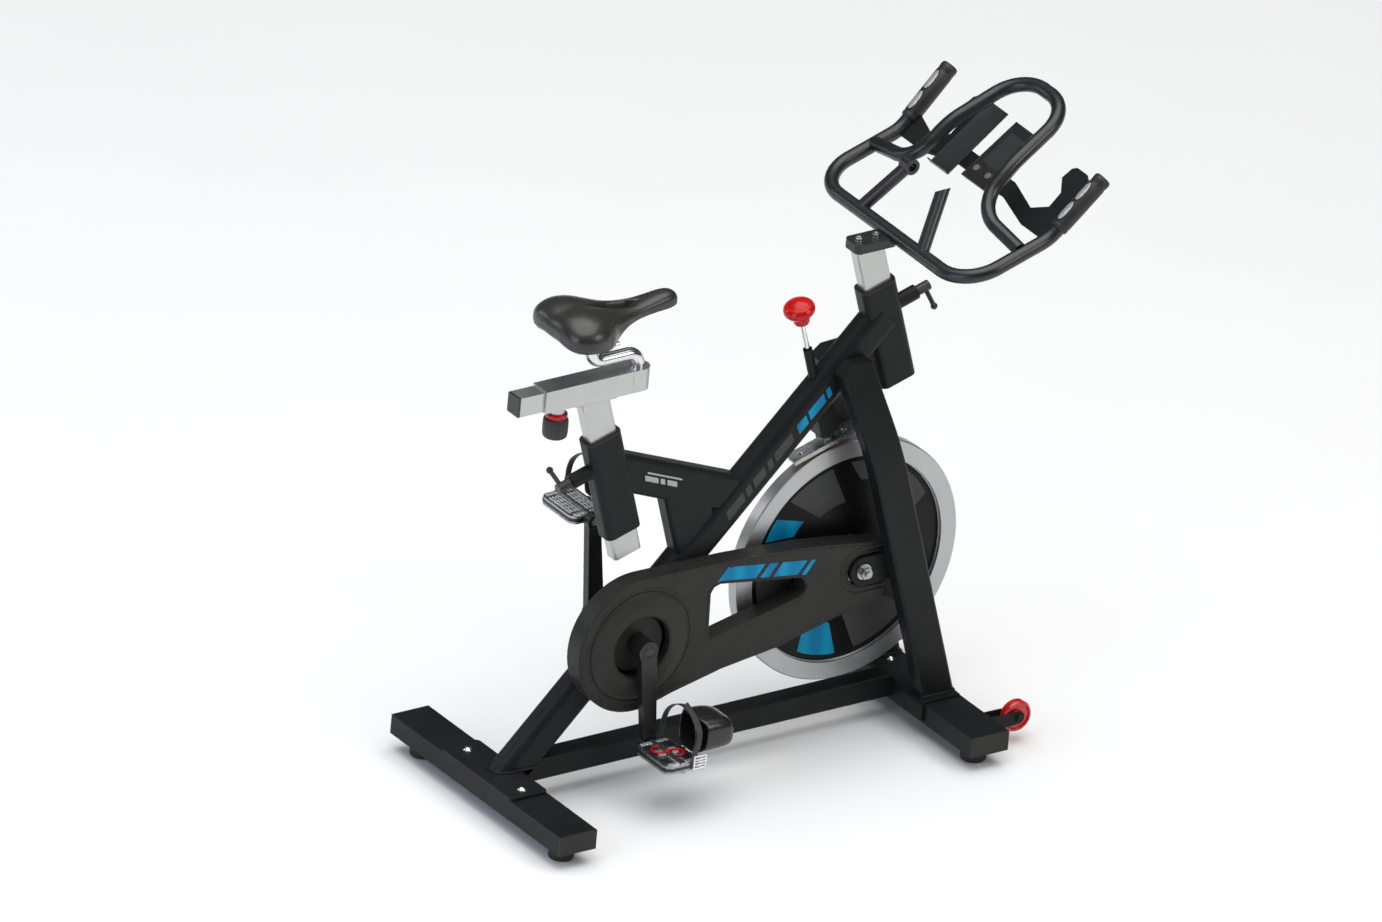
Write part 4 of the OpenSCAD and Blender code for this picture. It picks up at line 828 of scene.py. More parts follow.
SADDLE_VINYL = PebbledVinyl(
    "pebbled_saddle_vinyl", "vinyl", Coat((0.024, 0.0235, 0.0215), 0.27),
    mottle=0.12, mottle_size=35, uneven=0.05, grain_depth=0.035, edge=0.4, specular=0.5,
    sheen=0.06)
GRIP_RUBBER = Finish(
    "soft_grip_rubber", "grip_foam", Coat((0.018, 0.018, 0.017), 0.45),
    mottle=0.15, mottle_size=16, grain_size=0.5, grain_depth=0.05,
    worn_and_highlit_colour=(0.09, 0.09, 0.08), wear_and_highlight=0.4, edge=0.8, specular=0.45)
TRAY_METAL = Finish(
    "dark_grey_tray_paint", "tray_grey", Coat((0.045, 0.046, 0.047), 0.36, 0.3),
    mottle=0.12, mottle_size=30, grain_size=0.8, grain_depth=0.03,
    worn_and_highlit_colour=(0.4, 0.4, 0.38), wear_and_highlight=0.8, edge=0.7)
BUTTON_RUBBER = Finish(
    "warm_grey_button", "tray_grey", Coat((0.13, 0.115, 0.1), 0.42),
    mottle=0.1, mottle_size=5, grain_size=0.35, grain_depth=0.02,
    worn_and_highlit_colour=(0.3, 0.28, 0.25), wear_and_highlight=0.5, edge=0.8)
RED_GLOSS = Finish(
    "glossy_red_plastic", "red_plastic", Coat((0.5, 0.005, 0.005), 0.14),
    mottle=0.08, mottle_size=20, uneven=0.04, grain_size=1.5, grain_depth=0.008,
    worn_and_highlit_colour=(0.7, 0.08, 0.06), wear_and_highlight=0.2, edge=0.8, lacquer=0.12, specular=0.25)
RED_RESIN = Resin(
    "clear_red_resin", "red_plastic", Coat((0.72, 0.012, 0.012), 0.14),
    mottle=0.08, mottle_size=12, grain_size=1.5, grain_depth=0.01,
    worn_and_highlit_colour=(0.85, 0.1, 0.1), wear_and_highlight=0.2, edge=0.6, lacquer=0.4)
PAD_FELT = Finish(
    "tan_brake_pad", "bright_steel", Coat((0.3, 0.19, 0.08), 0.8),
    mottle=0.3, mottle_size=5, grain_size=0.6, grain_depth=0.2,
    worn_and_highlit_colour=(0.42, 0.3, 0.15), wear_and_highlight=0.6, edge=1.0, specular=0.25)
SCREEN_GLASS = Finish(
    "dark_console_lens", "black_plastic", Coat((0.006, 0.0065, 0.007), 0.07),
    mottle=0.1, mottle_size=20, uneven=0.02, grain_size=3.0, grain_depth=0.003,
    edge=0.4, specular=0.5, lacquer=0.8, lacquer_roughness=0.03)
SCREEN_CRYSTAL = LiquidCrystal(
    "grey_green_display", "black_plastic", Coat((0.02, 0.028, 0.0265), 0.14),
    mottle=0.06, mottle_size=30, uneven=0.02, grain_size=3.0, grain_depth=0.003,
    edge=0.2, specular=0.5, lacquer=0.5, lacquer_roughness=0.05)
DISC_FILM = Finish(
    "black_disc_film", "black_plastic", Coat((0.0065, 0.0063, 0.006), 0.3),
    mottle=0.15, mottle_size=60, uneven=0.04, grain_size=0.6, grain_depth=0.006,
    worn_and_highlit_colour=(0.06, 0.06, 0.06), wear_and_highlight=0.2, edge=0.3, specular=0.14)
BLUE_INK = InkedVinyl(
    "blue_printed_film", "black_plastic", Coat((0.001, 0.2, 0.4), 0.36),
    mottle=0.06, mottle_size=25, grain_size=0.5, grain_depth=0.01, edge=0.1, specular=0.15)
GREY_INK = Finish(
    "grey_printed_film", "black_plastic", Coat((0.06, 0.06, 0.059), 0.42),
    mottle=0.1, mottle_size=25, grain_size=0.5, grain_depth=0.01, edge=0.1, specular=0.15)
PALE_INK = Finish(
    "pale_printed_film", "black_plastic", Coat((0.42, 0.43, 0.43), 0.42),
    mottle=0.08, mottle_size=12, grain_size=0.5, grain_depth=0.01, edge=0.1, specular=0.3)


class Ink(Enum):
    """The inks of the flywheel's print."""

    GREY = GREY_INK
    BLUE = BLUE_INK


# ---- Where things are ----


@dataclass(frozen=True)
class Layout:
    """The frames that the drafts are drawn in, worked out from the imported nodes."""

    lean: float = 17.0
    main_tube_angle: float = 45.7
    clamp_behind: float = 34.0
    holder_offset: tuple[float, float, float] = (208.0, 0.0, 71.5)
    holder_tilt: float = 37.4

    @staticmethod
    def corner(node: str, which: int) -> Vector:
        """Returns a node's lowest (0) or highest (1) corner in millimetres."""
        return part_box(node)[which] / MM

    def middle(self, node: str) -> Vector:
        """Returns the middle of a node's box in millimetres."""
        return (self.corner(node, 0) + self.corner(node, 1)) / 2

    @property
    def crank(self) -> Matrix:
        """Returns the frame on the crank's axle."""
        return Matrix.Translation(self.middle("crank_axle"))

    @property
    def ground(self) -> Matrix:
        """Returns the frame on the floor under the crank's axle."""
        return Matrix.Translation((self.middle("crank_axle").x, 0, 0))

    @property
    def leaning(self) -> Matrix:
        """Returns the crank's frame, leant back with the posts."""
        return self.crank @ Matrix.Rotation(math.radians(-self.lean), 4, "Y")

    @property
    def along_main(self) -> Matrix:
        """Returns the crank's frame with Z along the main tube."""
        return self.crank @ Matrix.Rotation(math.radians(90 - self.main_tube_angle), 4, "Y")

    @property
    def flywheel(self) -> Matrix:
        """Returns the frame on the flywheel's axle."""
        return Matrix.Translation(self.middle("flywheel"))

    @property
    def clamp(self) -> Matrix:
        """Returns the frame on the middle of the handlebar post's top."""
        low = self.corner("bar_clamp_plate", 0)
        return Matrix.Translation((low.x + self.clamp_behind, 0, low.z))

    @property
    def holder(self) -> Matrix:
        """Returns the frame laid on the holder's tilted plane."""
        return (self.clamp @ Matrix.Translation(self.holder_offset)
                @ Matrix.Rotation(math.radians(-self.holder_tilt), 4, "Y"))

    def pedal(self, side: Side) -> Matrix:
        """Returns the frame in the middle of a pedal."""
        return Matrix.Translation(self.middle("pedal_" + side.label))


def side_on(place: Matrix, y: float) -> Matrix:
    """Returns a frame whose XY plane is the old XZ plane at a Y, facing the rider's right."""
    return place @ Matrix.Translation((0, y, 0)) @ Matrix.Rotation(math.radians(90), 4, "X")


def coat_nodes(finish: Finish, *nodes: str) -> None:
    """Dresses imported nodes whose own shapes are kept.

    Args:
        finish: what they are finished in.
        *nodes: their names.
    """
    for name in nodes:
        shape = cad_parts[name]
        material = finish.material()
        if not shape.material_slots:
            shape.data.materials.append(material)
        for place in shape.material_slots:
            place.material = material
        log.info("coated %s with %s", name, finish.name)


# ---- Sub-assemblies ----


@dataclass
class Assembly:
    """A sub-assembly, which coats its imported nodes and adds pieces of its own."""

    lay: Layout

    def dress(self) -> None:
        """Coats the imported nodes."""

    def build(self) -> None:
        """Adds the pieces."""


@dataclass
class Base(Assembly):
    """The two stabilisers with their plates, bolts, beam, feet and transport wheels.

    A tube's or a leg's section is given as its depth, its width and its corner radius.
    """

    bead: float = 2.6
    bead_lift: float = 0.6
    plate_top: float = 68.0
    tube: tuple[float, float, float] = (66.0, 45.0, 20.0)
    tube_offset: float = 3.6
    leg: tuple[float, float, float] = (62.0, 32.0, 6.0)
    leg_apart: float = 156.0
    pad_top: float = 22.2

    def dress(self) -> None:
        """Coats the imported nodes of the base."""
        coat_nodes(BLACK_PAINT, "rear_stabiliser", "front_stabiliser", "rear_mount_plate",
                   "front_mount_bracket", "base_beam", "wheel_brackets")
        coat_nodes(MOULDED_BLACK, "stabiliser_caps")
        coat_nodes(CHROME, "mount_bolts")
        foot = self.lay.corner("foot_rear_right", 0)
        stem = Zone(ZINC.coat, (foot.x, foot.y, self.pad_top), (0.0, 0.0, 1.0))
        rubber_and_steel = replace(FOOT_RUBBER, name="foot_rubber_and_steel", specular=0.4,
                                   zone=stem)
        coat_nodes(rubber_and_steel, "foot_rear_right", "foot_rear_left", "foot_front_right",
                   "foot_front_left")
        coat_nodes(RED_RESIN, "wheel_right", "wheel_left")

    def tube_foot(self) -> list[Vector]:
        """Finds the line where the main tube stands on its plate.

        Returns:
            The line, in the crank's frame.
        """
        depth, width, corner = self.tube
        slope = math.radians(90 - self.lay.main_tube_angle)
        drop = self.plate_top - self.lay.middle("crank_axle").z
        line = []
        for u, v in rectangle(depth, width, corner, (self.tube_offset, 0.0), 10):
            x = u * math.cos(slope) + math.tan(slope) * (drop + u * math.sin(slope))
            line.append(Vector((x, v, drop + self.bead_lift)))
        return line

    def leg_foot(self, side: Side) -> list[Vector]:
        """Finds the line where a fork leg stands on its bracket.

        Args:
            side: the leg's side.

        Returns:
            The line, in the frame of the whole bike.
        """
        depth, width, corner = self.leg
        low, high = (self.lay.corner("fork_leg_" + side.label, end) for end in (0, 1))
        lean = math.radians(self.lay.lean)
        front = high.x - math.tan(lean) * (self.plate_top - low.z)
        middle = Vector((front - depth / 2 / math.cos(lean),
                         side.value * self.leg_apart / 2, self.plate_top + self.bead_lift))
        return [middle + Vector((u / math.cos(lean), v, 0))
                for u, v in rectangle(depth, width, corner)]

    def build(self) -> None:
        """Adds the weld beads round the feet of the tubes."""
        Draft(self.lay.crank).sweep(self.tube_foot(), circle(self.bead, 10), loop=True).piece(
            "main_tube_foot_weld", BLACK_PAINT, "frame", Shading.SOFT)
        for side in Side:
            Draft().sweep(self.leg_foot(side), circle(self.bead, 10), loop=True).piece(
                f"leg_foot_weld_{side.label}", BLACK_PAINT, "frame", Shading.SOFT)


@dataclass
class Weldment(Assembly):
    """The welded frame with its printed films and sleeve bushes.

    The films' bars start at a distance along the main tube, and the badge has its place
    ahead of the crank and above it, in the leaning frame.
    """

    film: float = 0.25
    main_width: float = 45.0
    main_axis: float = 3.6
    top_width: float = 38.0
    grey_start: float = 256.0
    grey_bars: tuple[float, ...] = (44.0, 12.0, 30.0, 12.0, 46.0)
    grey_gap: float = 7.0
    blue_start: float = 442.0
    blue_bars: tuple[float, ...] = (24.0, 40.0, 10.0)
    blue_gap: float = 6.0
    bar_height: float = 17.0
    bar_slant: float = 7.0
    badge_ahead: float = 38.0
    badge_above: float = 322.0
    badge_turn: float = 128.5

    def dress(self) -> None:
        """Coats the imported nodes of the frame."""
        coat_nodes(BLACK_PAINT, "main_tube", "seat_sleeve", "top_tube", "head_sleeve",
                   "fork_leg_right", "fork_leg_left", "bottom_bracket", "brake_sleeve")
        coat_nodes(MOULDED_BLACK, "post_bushes")

    def bars(self, start: float, lengths: Sequence[float], height: float, slant: float,
             gap: float) -> list[list[Flat]]:
        """Sets out slanted bars in a row.

        Args:
            start: where the first bar starts.
            lengths: the length of each bar.
            height: the height of the row.
            slant: how far a bar's top stands ahead of its foot.
            gap: the gap between two bars.

        Returns:
            The outlines.
        """
        made, at = [], start
        for length in lengths:
            outline = [(at, -height / 2), (at + length, -height / 2),
                       (at + length + slant, height / 2), (at + slant, height / 2)]
            made.append(round_corners(outline, 1.2, 3))
            at += length + gap
        return made

    def badge(self, side: Side) -> None:
        """Adds the small pale motif on a side of the top tube.

        Args:
            side: the side of the tube.
        """
        onto_side = Matrix(((0, 1, 0, 0), (0, 0, 1, 0), (1, 0, 0, 0), (0, 0, 0, 1)))
        at = (self.badge_ahead, side.value * self.top_width / 2, self.badge_above)
        face = (self.lay.leaning @ Matrix.Translation(at)
                @ Matrix.Rotation(math.radians(self.badge_turn), 4, "Y") @ onto_side)
        low = -self.film if side is Side.RIGHT else 0.0
        pale = Draft(face)
        for outline in self.bars(70, (30, 10, 22), 9, 5, 5):
            pale.slab(outline, low, self.film)
        for outline in self.bars(72, (78,), 3, 2, 0):
            pale.slab([(x, y - 10) for x, y in outline], low, self.film)
        pale.piece(f"top_tube_pale_film_{side.label}", PALE_INK, "frame")

    def build(self) -> None:
        """Adds the printed films of both sides."""
        onto_side = Matrix(((0, -1, 0, 0), (0, 0, -1, 0), (1, 0, 0, 0), (0, 0, 0, 1)))
        for side in Side:
            y = side.value * self.main_width / 2
            face = self.lay.along_main @ Matrix.Translation((self.main_axis, y, 0)) @ onto_side
            low, high = (0.0, self.film) if side is Side.RIGHT else (-self.film, 0.0)
            grey, blue = Draft(face), Draft(face)
            for outline in self.bars(self.grey_start, self.grey_bars, self.bar_height,
                                     self.bar_slant, self.grey_gap):
                grey.slab(outline, low, high)
            for outline in self.bars(self.blue_start, self.blue_bars, self.bar_height,
                                     self.bar_slant, self.blue_gap):
                blue.slab(outline, low, high)
            grey.piece(f"main_tube_grey_film_{side.label}", GREY_INK, "frame")
            blue.piece(f"main_tube_blue_film_{side.label}", BLUE_INK, "frame")
            self.badge(side)


@dataclass
class Guard(Assembly):
    """The drive's two guard shells with their screws, mouldings and printed film.

    Places are ahead of the crank's axle and above it. The film is a row of slanted bars
    that falls to the front.
    """

    face: float = -57.0
    lip: float = 1.5
    shell_r: float = 122.0
    ring_r: float = 103.0
    ring_width: float = 6.5
    axle_ridges: tuple[float, ...] = (33.0, 42.0)
    axle_run: float = 48.0
    film_start: float = 150.0
    film_foot: float = 84.0
    film_bars: tuple[float, ...] = (76.0, 18.0, 50.0, 9.0)
    film_height: float = 27.0
    film_slant: float = 19.0
    film_gap: float = 9.0
    film_slope: float = -0.14
    screws: tuple[Flat, ...] = ((-108.0, 46.0), (-60.0, -101.0), (176.0, 108.0),
                                (232.0, -66.0), (372.0, 92.0), (372.0, -34.0))

    def dress(self) -> None:
        """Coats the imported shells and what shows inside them."""
        coat_nodes(MOULDED_BLACK, "guard_outer", "guard_inner")
        coat_nodes(FOOT_RUBBER, "drive_belt")

    def outline(self, inset: float) -> list[Flat]:
        """Draws the guard's side outline.

        Args:
            inset: how far it is drawn in from the shell's edge.

        Returns:
            The outline.
        """
        r = self.shell_r - inset
        round_end = [(r * math.cos(math.radians(a)), r * math.sin(math.radians(a)))
                     for a in range(90, 286, 5)]
        return round_end + [
            (74, -105 + inset), (173, -82 + inset), (287, -66 + inset), (400, -36 + inset),
            (494 - inset, -16 + inset), (494 - inset, 84 - inset), (400, 100 - inset),
            (315, 111 - inset), (175, 119 - inset)]

    def window(self, grow: float) -> list[Flat]:
        """Draws the outline of the shell's window.

        Args:
            grow: how far it is drawn out on each side.

        Returns:
            The outline.
        """
        return [(140 - grow, -12 - grow), (138 - grow, 66), (144, 76 + grow),
                (156, 80 + grow), (318, 56 + grow), (328, 49 + grow), (333 + grow, 36),
                (330 + grow, 26), (320, 19 - grow), (150, -20 - grow), (143, -18 - grow)]

    def ridge(self, name: str, line: Sequence[Flat], width: float, loop: bool = True) -> None:
        """Adds a low moulded ridge on the guard's face.

        Args:
            name: the piece's name.
            line: its path over the face.
            width: its width.
            loop: whether the path closes on itself.
        """
        section = ellipse(width / 2, self.lip, 12)
        path = [Vector((x, self.face + 0.3, z)) for x, z in line]
        Draft(self.lay.crank).sweep(path, section, loop=loop, up=Vector((0, 1, 0))).piece(
            name, MOULDED_BLACK, "frame", Shading.SOFT)

    def screw(self, at: Flat) -> Draft:
        """Draws a cross-head screw in the guard's face.

        Args:
            at: its place on the face.

        Returns:
            The draft of the screw.
        """
        draft = Draft(self.lay.crank @ Matrix.Translation((at[0], self.face, at[1]))
                      @ Matrix.Rotation(math.radians(90), 4, "X"))
        draft.lathe([(0, 0.4), (2.6, 0.7), (3.4, 0.3), (3.5, -0.4)], 24)
        for turn in (0, 90):
            spin = Matrix.Rotation(math.radians(turn + 20), 4, "Z")
            draft.merge(Draft(draft.place @ spin).block((-2.2, -0.35, 0.5), (2.2, 0.35, 0.8)))
        return draft

    def film(self) -> None:
        """Adds the printed film's bars above the window."""
        film = Draft(side_on(self.lay.crank, self.face))
        at = self.film_start
        for length in self.film_bars:
            ends = [(at, 0.0), (at + length, 0.0), (at + length + self.film_slant, self.film_height),
                    (at + self.film_slant, self.film_height)]
            bar = [(x, self.film_foot + z + self.film_slope * (x - self.film_start))
                   for x, z in ends]
            film.slab(round_corners(bar, 1.5, 3), 0.0, 0.3)
            at += length + self.film_gap
        film.piece("guard_blue_film", BLUE_INK, "frame")

    def build(self) -> None:
        """Adds the mouldings, the screws and the printed film."""
        self.ridge("guard_rim_ridge", round_corners(self.outline(4.5), 3, 3), 3.4)
        self.ridge("guard_window_ridge", round_corners(self.window(4.0), 5, 4), 4.0)
        self.ridge("guard_ring_ridge", circle(self.ring_r, 120), self.ring_width)
        wheel = self.lay.middle("flywheel") - self.lay.middle("crank_axle")
        for number, r in enumerate(self.axle_ridges):
            arc = [(wheel.x + r * math.cos(a), wheel.z + r * math.sin(a))
                   for a in (math.pi / 2 + math.pi * k / 24 for k in range(25))]
            front = wheel.x + self.axle_run
            arc = [(front, wheel.z + r)] + arc + [(front, wheel.z - r)]
            self.ridge(f"guard_axle_ridge_{number}", arc, 4.2 - number, loop=False)
        screws = Draft()
        for at in self.screws:
            screws.merge(self.screw(at))
        screws.piece("guard_screws", HARD_BLACK, "frame")
        self.film()


@dataclass
class Flywheel(Assembly):
    """The flywheel with its printed discs, hub and axle.

    A block of the print holds the angle where it starts, its angle, how deep it reaches
    from the outer edge as a share of the printed band, and its ink.
    """

    disc: float = 6.0
    print_out: float = 188.0
    print_in: float = 42.0
    block_in: float = 60.0
    block_out: float = 178.0
    block_skew: float = 9.0
    blocks: tuple[tuple[float, float, float, Ink], ...] = (
        (20, 34, 0.55, Ink.GREY), (66, 16, 0.3, Ink.GREY), (94, 30, 0.62, Ink.GREY),
        (136, 14, 0.45, Ink.BLUE), (164, 36, 0.6, Ink.GREY), (210, 12, 0.35, Ink.GREY),
        (234, 26, 0.5, Ink.BLUE), (272, 38, 0.62, Ink.GREY), (322, 14, 0.4, Ink.GREY))

    def dress(self) -> None:
        """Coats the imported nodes."""
        axle = self.lay.middle("flywheel")
        rim = TurnedMetal(
            "turned_flywheel_rim", "machined_iron", Coat((0.46, 0.465, 0.47), 0.34, 0.85),
            mottle=0.04, mottle_size=80, uneven=0.02, grain_depth=0.0012,
            worn_and_highlit_colour=(0.5, 0.5, 0.5), wear_and_highlight=0.25, edge=0.8, centre=(axle.x, axle.z))
        coat_nodes(rim, "flywheel")
        coat_nodes(ZINC, "flywheel_hub", "small_pulley", "flywheel_axle")

    def block(self, start: float, length: float, low: float) -> list[Flat]:
        """Draws a skewed block of the print.

        Args:
            start: the angle where its inner edge starts, in degrees.
            length: its angle in degrees.
            low: its inner radius.

        Returns:
            The outline.
        """
        steps = 10
        skewed = start + self.block_skew
        inner = [(low, start + length * k / steps) for k in range(steps + 1)]
        outer = [(self.block_out, skewed + length * k / steps) for k in range(steps, -1, -1)]
        return [(r * math.cos(math.radians(a)), r * math.sin(math.radians(a)))
                for r, a in inner + outer]

    def build(self) -> None:
        """Adds the black printed discs and the blocks on them."""
        span = self.block_out - self.block_in
        low, high, out = self.disc - 0.4, self.disc + 0.4, self.print_out
        for side in Side:
            face = self.lay.flywheel @ Matrix.Rotation(math.radians(-90 * side.value), 4, "X")
            Draft(face).lathe([(self.print_in, low), (self.print_in, high), (out - 1, high),
                               (out, self.disc + 0.1), (out, low)], 144).piece(
                f"disc_print_{side.label}", DISC_FILM, "flywheel")
            drafts = {ink: Draft(face) for ink in Ink}
            for start, length, depth, ink in self.blocks:
                outline = self.block(start, length, self.block_out - span * depth)
                drafts[ink].slab(outline, self.disc + 0.3, self.disc + 0.6)
            for ink, draft in drafts.items():
                draft.piece(f"disc_{ink.name.lower()}_blocks_{side.label}", ink.value, "flywheel")


@dataclass
class Cranks(Assembly):
    """The crank axle, its two arms and the pulley behind the guard."""

    def dress(self) -> None:
        """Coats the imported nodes."""
        coat_nodes(FORGED_BLACK, "crank_arms")
        coat_nodes(ZINC, "crank_axle", "pedal_spindles")
        coat_nodes(HARD_BLACK, "large_pulley")

    def build(self) -> None:
        """Adds the dark dish on the pulley and the dust cap on each end of the axle."""
        face = self.lay.corner("large_pulley", 0).y
        end = self.lay.corner("crank_axle", 1).y
        Draft(side_on(self.lay.crank, face)).lathe(
            [(15, 0.2), (15, 1.2), (20, 1.6), (32, 1.2), (43, 2.2), (48, 4.2), (50, 4.6),
             (51, 3.6), (51, 0.2)], 96).piece(
            "pulley_dish", MOULDED_BLACK, "crank", Shading.SOFT)
        for side in Side:
            place = (self.lay.crank @ Matrix.Translation((0, side.value * end, 0))
                     @ Matrix.Rotation(math.radians(-90 * side.value), 4, "X"))
            Draft(place).lathe([(0, 1.9), (5.5, 1.8), (8.5, 1.3), (10, 0.4), (10.2, -0.6)],
                               48).piece(f"crank_cap_{side.label}", HARD_BLACK, "crank",
                                         Shading.SOFT)


@dataclass
class Pedal(Assembly):
    """One pedal with its clip parts, treads, toe cage and strap.

    Places are drawn from the middle of the pedal, with X to the toe.
    """

    side: Side
    length: float = 68.0
    width: float = 96.0
    thick: float = 14.0
    tread_at: float = 41.0
    cage_low: float = 10.0
    cage_high: float = 67.0
    cage_front: float = 107.0
    cage_half: float = 38.5
    strap_at: float = 18.0
    strap_half: float = 49.4
    strap_spring: float = 48.0

    @property
    def body(self) -> str:
        """Returns the body that the pedal's pieces ride on."""
        return "pedal_" + self.side.label

    @property
    def place(self) -> Matrix:
        """Returns the frame in the middle of the pedal."""
        return self.lay.pedal(self.side)

    def named(self, piece: str) -> str:
        """Returns a piece's name with the pedal's side."""
        return f"{piece}_{self.side.label}"

    def dress(self) -> None:
        """Coats the pedal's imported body."""
        coat_nodes(CAST_ALLOY, self.body)

    def clip(self, flip: Matrix, treads: Draft, where: str) -> None:
        """Adds the sprung shoe clip of one face, with the dark wells beside it.

        Args:
            flip: the frame of the pedal's face.
            treads: the draft of the bright pieces, which gets the clip's jaws.
            where: the face's name.
        """
        top = self.thick / 2
        jaws = Draft(flip)
        for turn in (1, -1):
            bent = [Vector((turn * x, y * turn, top + 3.2)) for x, y in (
                (4, -21), (14, -22), (22, -15), (22, -4), (13, 1), (5, 0), (1, 6))]
            jaws.sweep(smooth_path(bent, 5), circle(2.1, 10))
        jaws.piece(self.named(f"clip_spring_{where}"), RED_GLOSS, self.body, Shading.SOFT)
        sunk = top - SUNK
        for x in (-13, 13):
            treads.slab(round_corners([(x - 5, -8), (x + 5, -8), (x + 8, 10), (x - 8, 10)],
                                      3, 4), sunk, top + 2.2)
        treads.slab(rectangle(16, 26, 3, (0, -24)), sunk, top + 0.9)
        treads.slab(rectangle(9, 30, 3, (-2, 20)), sunk, top + 0.9)
        wells = Draft(flip)
        for x, y, long, wide in ((-20, -25, 15, 18), (20, -25, 15, 18), (-20, 26, 16, 19),
                                 (19, 26, 18, 19), (27, 0, 7, 26), (-27, 0, 7, 26)):
            wells.slab(rectangle(long, wide, 3.5, (x, y)), sunk, top + 0.7)
        wells.piece(self.named(f"wells_{where}"), SMOKED_BLACK, self.body, rounding=0.5)

    def band(self) -> None:
        """Adds the dark band round the pedal's edge, open where the spindle enters."""
        inner, opening, proud = -self.side.value, 11, 0.25
        outline = rectangle(self.length + 2 * proud, self.width + 2 * proud, 14.2)
        ordered = sorted(outline, key=lambda p: math.atan2(p[0], p[1] * inner) % TURN)
        edge = inner * (self.width / 2 + proud)
        path = [Vector((opening, edge, 0)), *at_height(ordered, 0), Vector((-opening, edge, 0))]
        Draft(self.place).sweep(path, rectangle(0.9, 5.5, 0.4), up=Vector((0, 0, 1))).piece(
            self.named("edge_band"), SMOKED_BLACK, self.body)

    def ribs(self, treads: Draft) -> None:
        """Adds the ribs of the plain face.

        Args:
            treads: the draft of the bright pieces on that face.
        """
        top = self.thick / 2
        for x in range(-27, 28, 6):
            treads.slab(rectangle(2.6, 62, 1.2, (x, 0)), top - SUNK, top + 1.6)
        for y in range(-26, 27, 13):
            treads.slab(rectangle(56, 2.4, 1.1, (0, y)), top - SUNK, top + 1.2)

    def faces(self) -> None:
        """Adds what is on both faces: the treads with their pins, a clip or ribs."""
        top = self.thick / 2
        for face in (1, -1):
            flip = self.place @ Matrix.Rotation(0 if face > 0 else math.pi, 4, "X")
            where = "upper" if face > 0 else "lower"
            treads, pins = Draft(flip), Draft(flip)
            for y in (-self.tread_at, self.tread_at):
                treads.slab(rectangle(54, 8, 3, (0, y), 4), top - SUNK, top + 1.4)
                for x in (-24, -8, 8, 24):
                    pins.merge(Draft(flip @ Matrix.Translation((x, y, top + 1.2))).lathe(
                        [(0, 1.4), (1.4, 1.4), (1.9, 0.9), (1.9, -0.4)], 16))
            if face == -self.side.value:
                self.clip(flip, treads, where)
            else:
                self.ribs(treads)
            treads.piece(self.named(f"treads_{where}"), BRIGHT_ALLOY, self.body, rounding=0.4)
            pins.piece(self.named(f"tread_pins_{where}"), ZINC, self.body)

    def bracket(self) -> None:
        """Adds the bright bracket with three teeth under the cage."""
        front = self.length / 2
        comb = Draft(self.place)
        comb.block((front + 0.4, -30, -6), (front + 2.4, 30, 5))
        for y in (-22, 0, 22):
            comb.block((front + 1, y - 5, -6.0), (front + 17, y + 5, -4.4))
        comb.piece(self.named("cage_bracket"), BRIGHT_ALLOY, self.body, rounding=0.5)

    def cage(self) -> None:
        """Adds the toe cage: a thin cup that opens to the rear, with its strap loop."""
        steps, around = 22, 40
        rear = self.length / 2 + 3
        rings = []
        for i in range(steps + 1):
            t = i / steps
            closing = math.sqrt(max(0.0, 1 - t**3.2))
            half = (16 + (self.cage_half - 16) * closing) * (closing if t > 0.97 else 1)
            high = self.cage_high - 21 * t**2.2
            low = self.cage_low + 7 * t**3
            x = rear + (self.cage_front - rear) * math.sin(t * math.pi / 2) ** 0.92
            middle, tall = (high + low) / 2, (high - low) / 2
            ring = []
            for k in range(around):
                a = TURN * k / around
                c, s = math.cos(a), math.sin(a)
                y = half * math.copysign(abs(c) ** 0.55, c)
                z = middle + tall * math.copysign(abs(s) ** 0.62, s)
                side_cut = max(0.0, abs(c) - 0.25) * 17 * (1 - t)
                over = (1 - t) * max(0.0, s) * 7
                ring.append(Vector((x + side_cut * (1 - t) + over, y, z)))
            rings.append(ring)
        tip = [Vector((rings[-1][k].x + 0.2, rings[-1][k].y * 0.5,
                       (rings[-1][k].z - 34) * 0.5 + 34)) for k in range(around)]
        shell = Draft(self.place).rings(rings + [tip], capped=False)
        start = len(shell.verts)
        shell.faces.append(tuple(range(start - around, start)))
        made = shell.piece(self.named("toe_cage_shell"), SMOKED_BLACK, self.body, Shading.SOFT)
        thicken = made.modifiers.new("wall", "SOLIDIFY")
        thicken.thickness, thicken.offset = 2.4 * MM, 1.0
        soften = made.modifiers.new("rounded_edges", "BEVEL")
        soften.width, soften.segments = 0.7 * MM, 2
        soften.limit_method, soften.angle_limit = "ANGLE", math.radians(50)
        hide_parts(self.named("toe_cage"))
        loop = [Vector((rear + 6, y, z)) for y, z in
                ((-12, self.cage_high - 1), (-11, self.cage_high + 3.4), (0, self.cage_high + 4),
                 (11, self.cage_high + 3.4), (12, self.cage_high - 1))]
        Draft(self.place).sweep(smooth_path(loop, 6), circle(1.8, 10)).piece(
            self.named("strap_loop"), SMOKED_BLACK, self.body, Shading.SOFT)

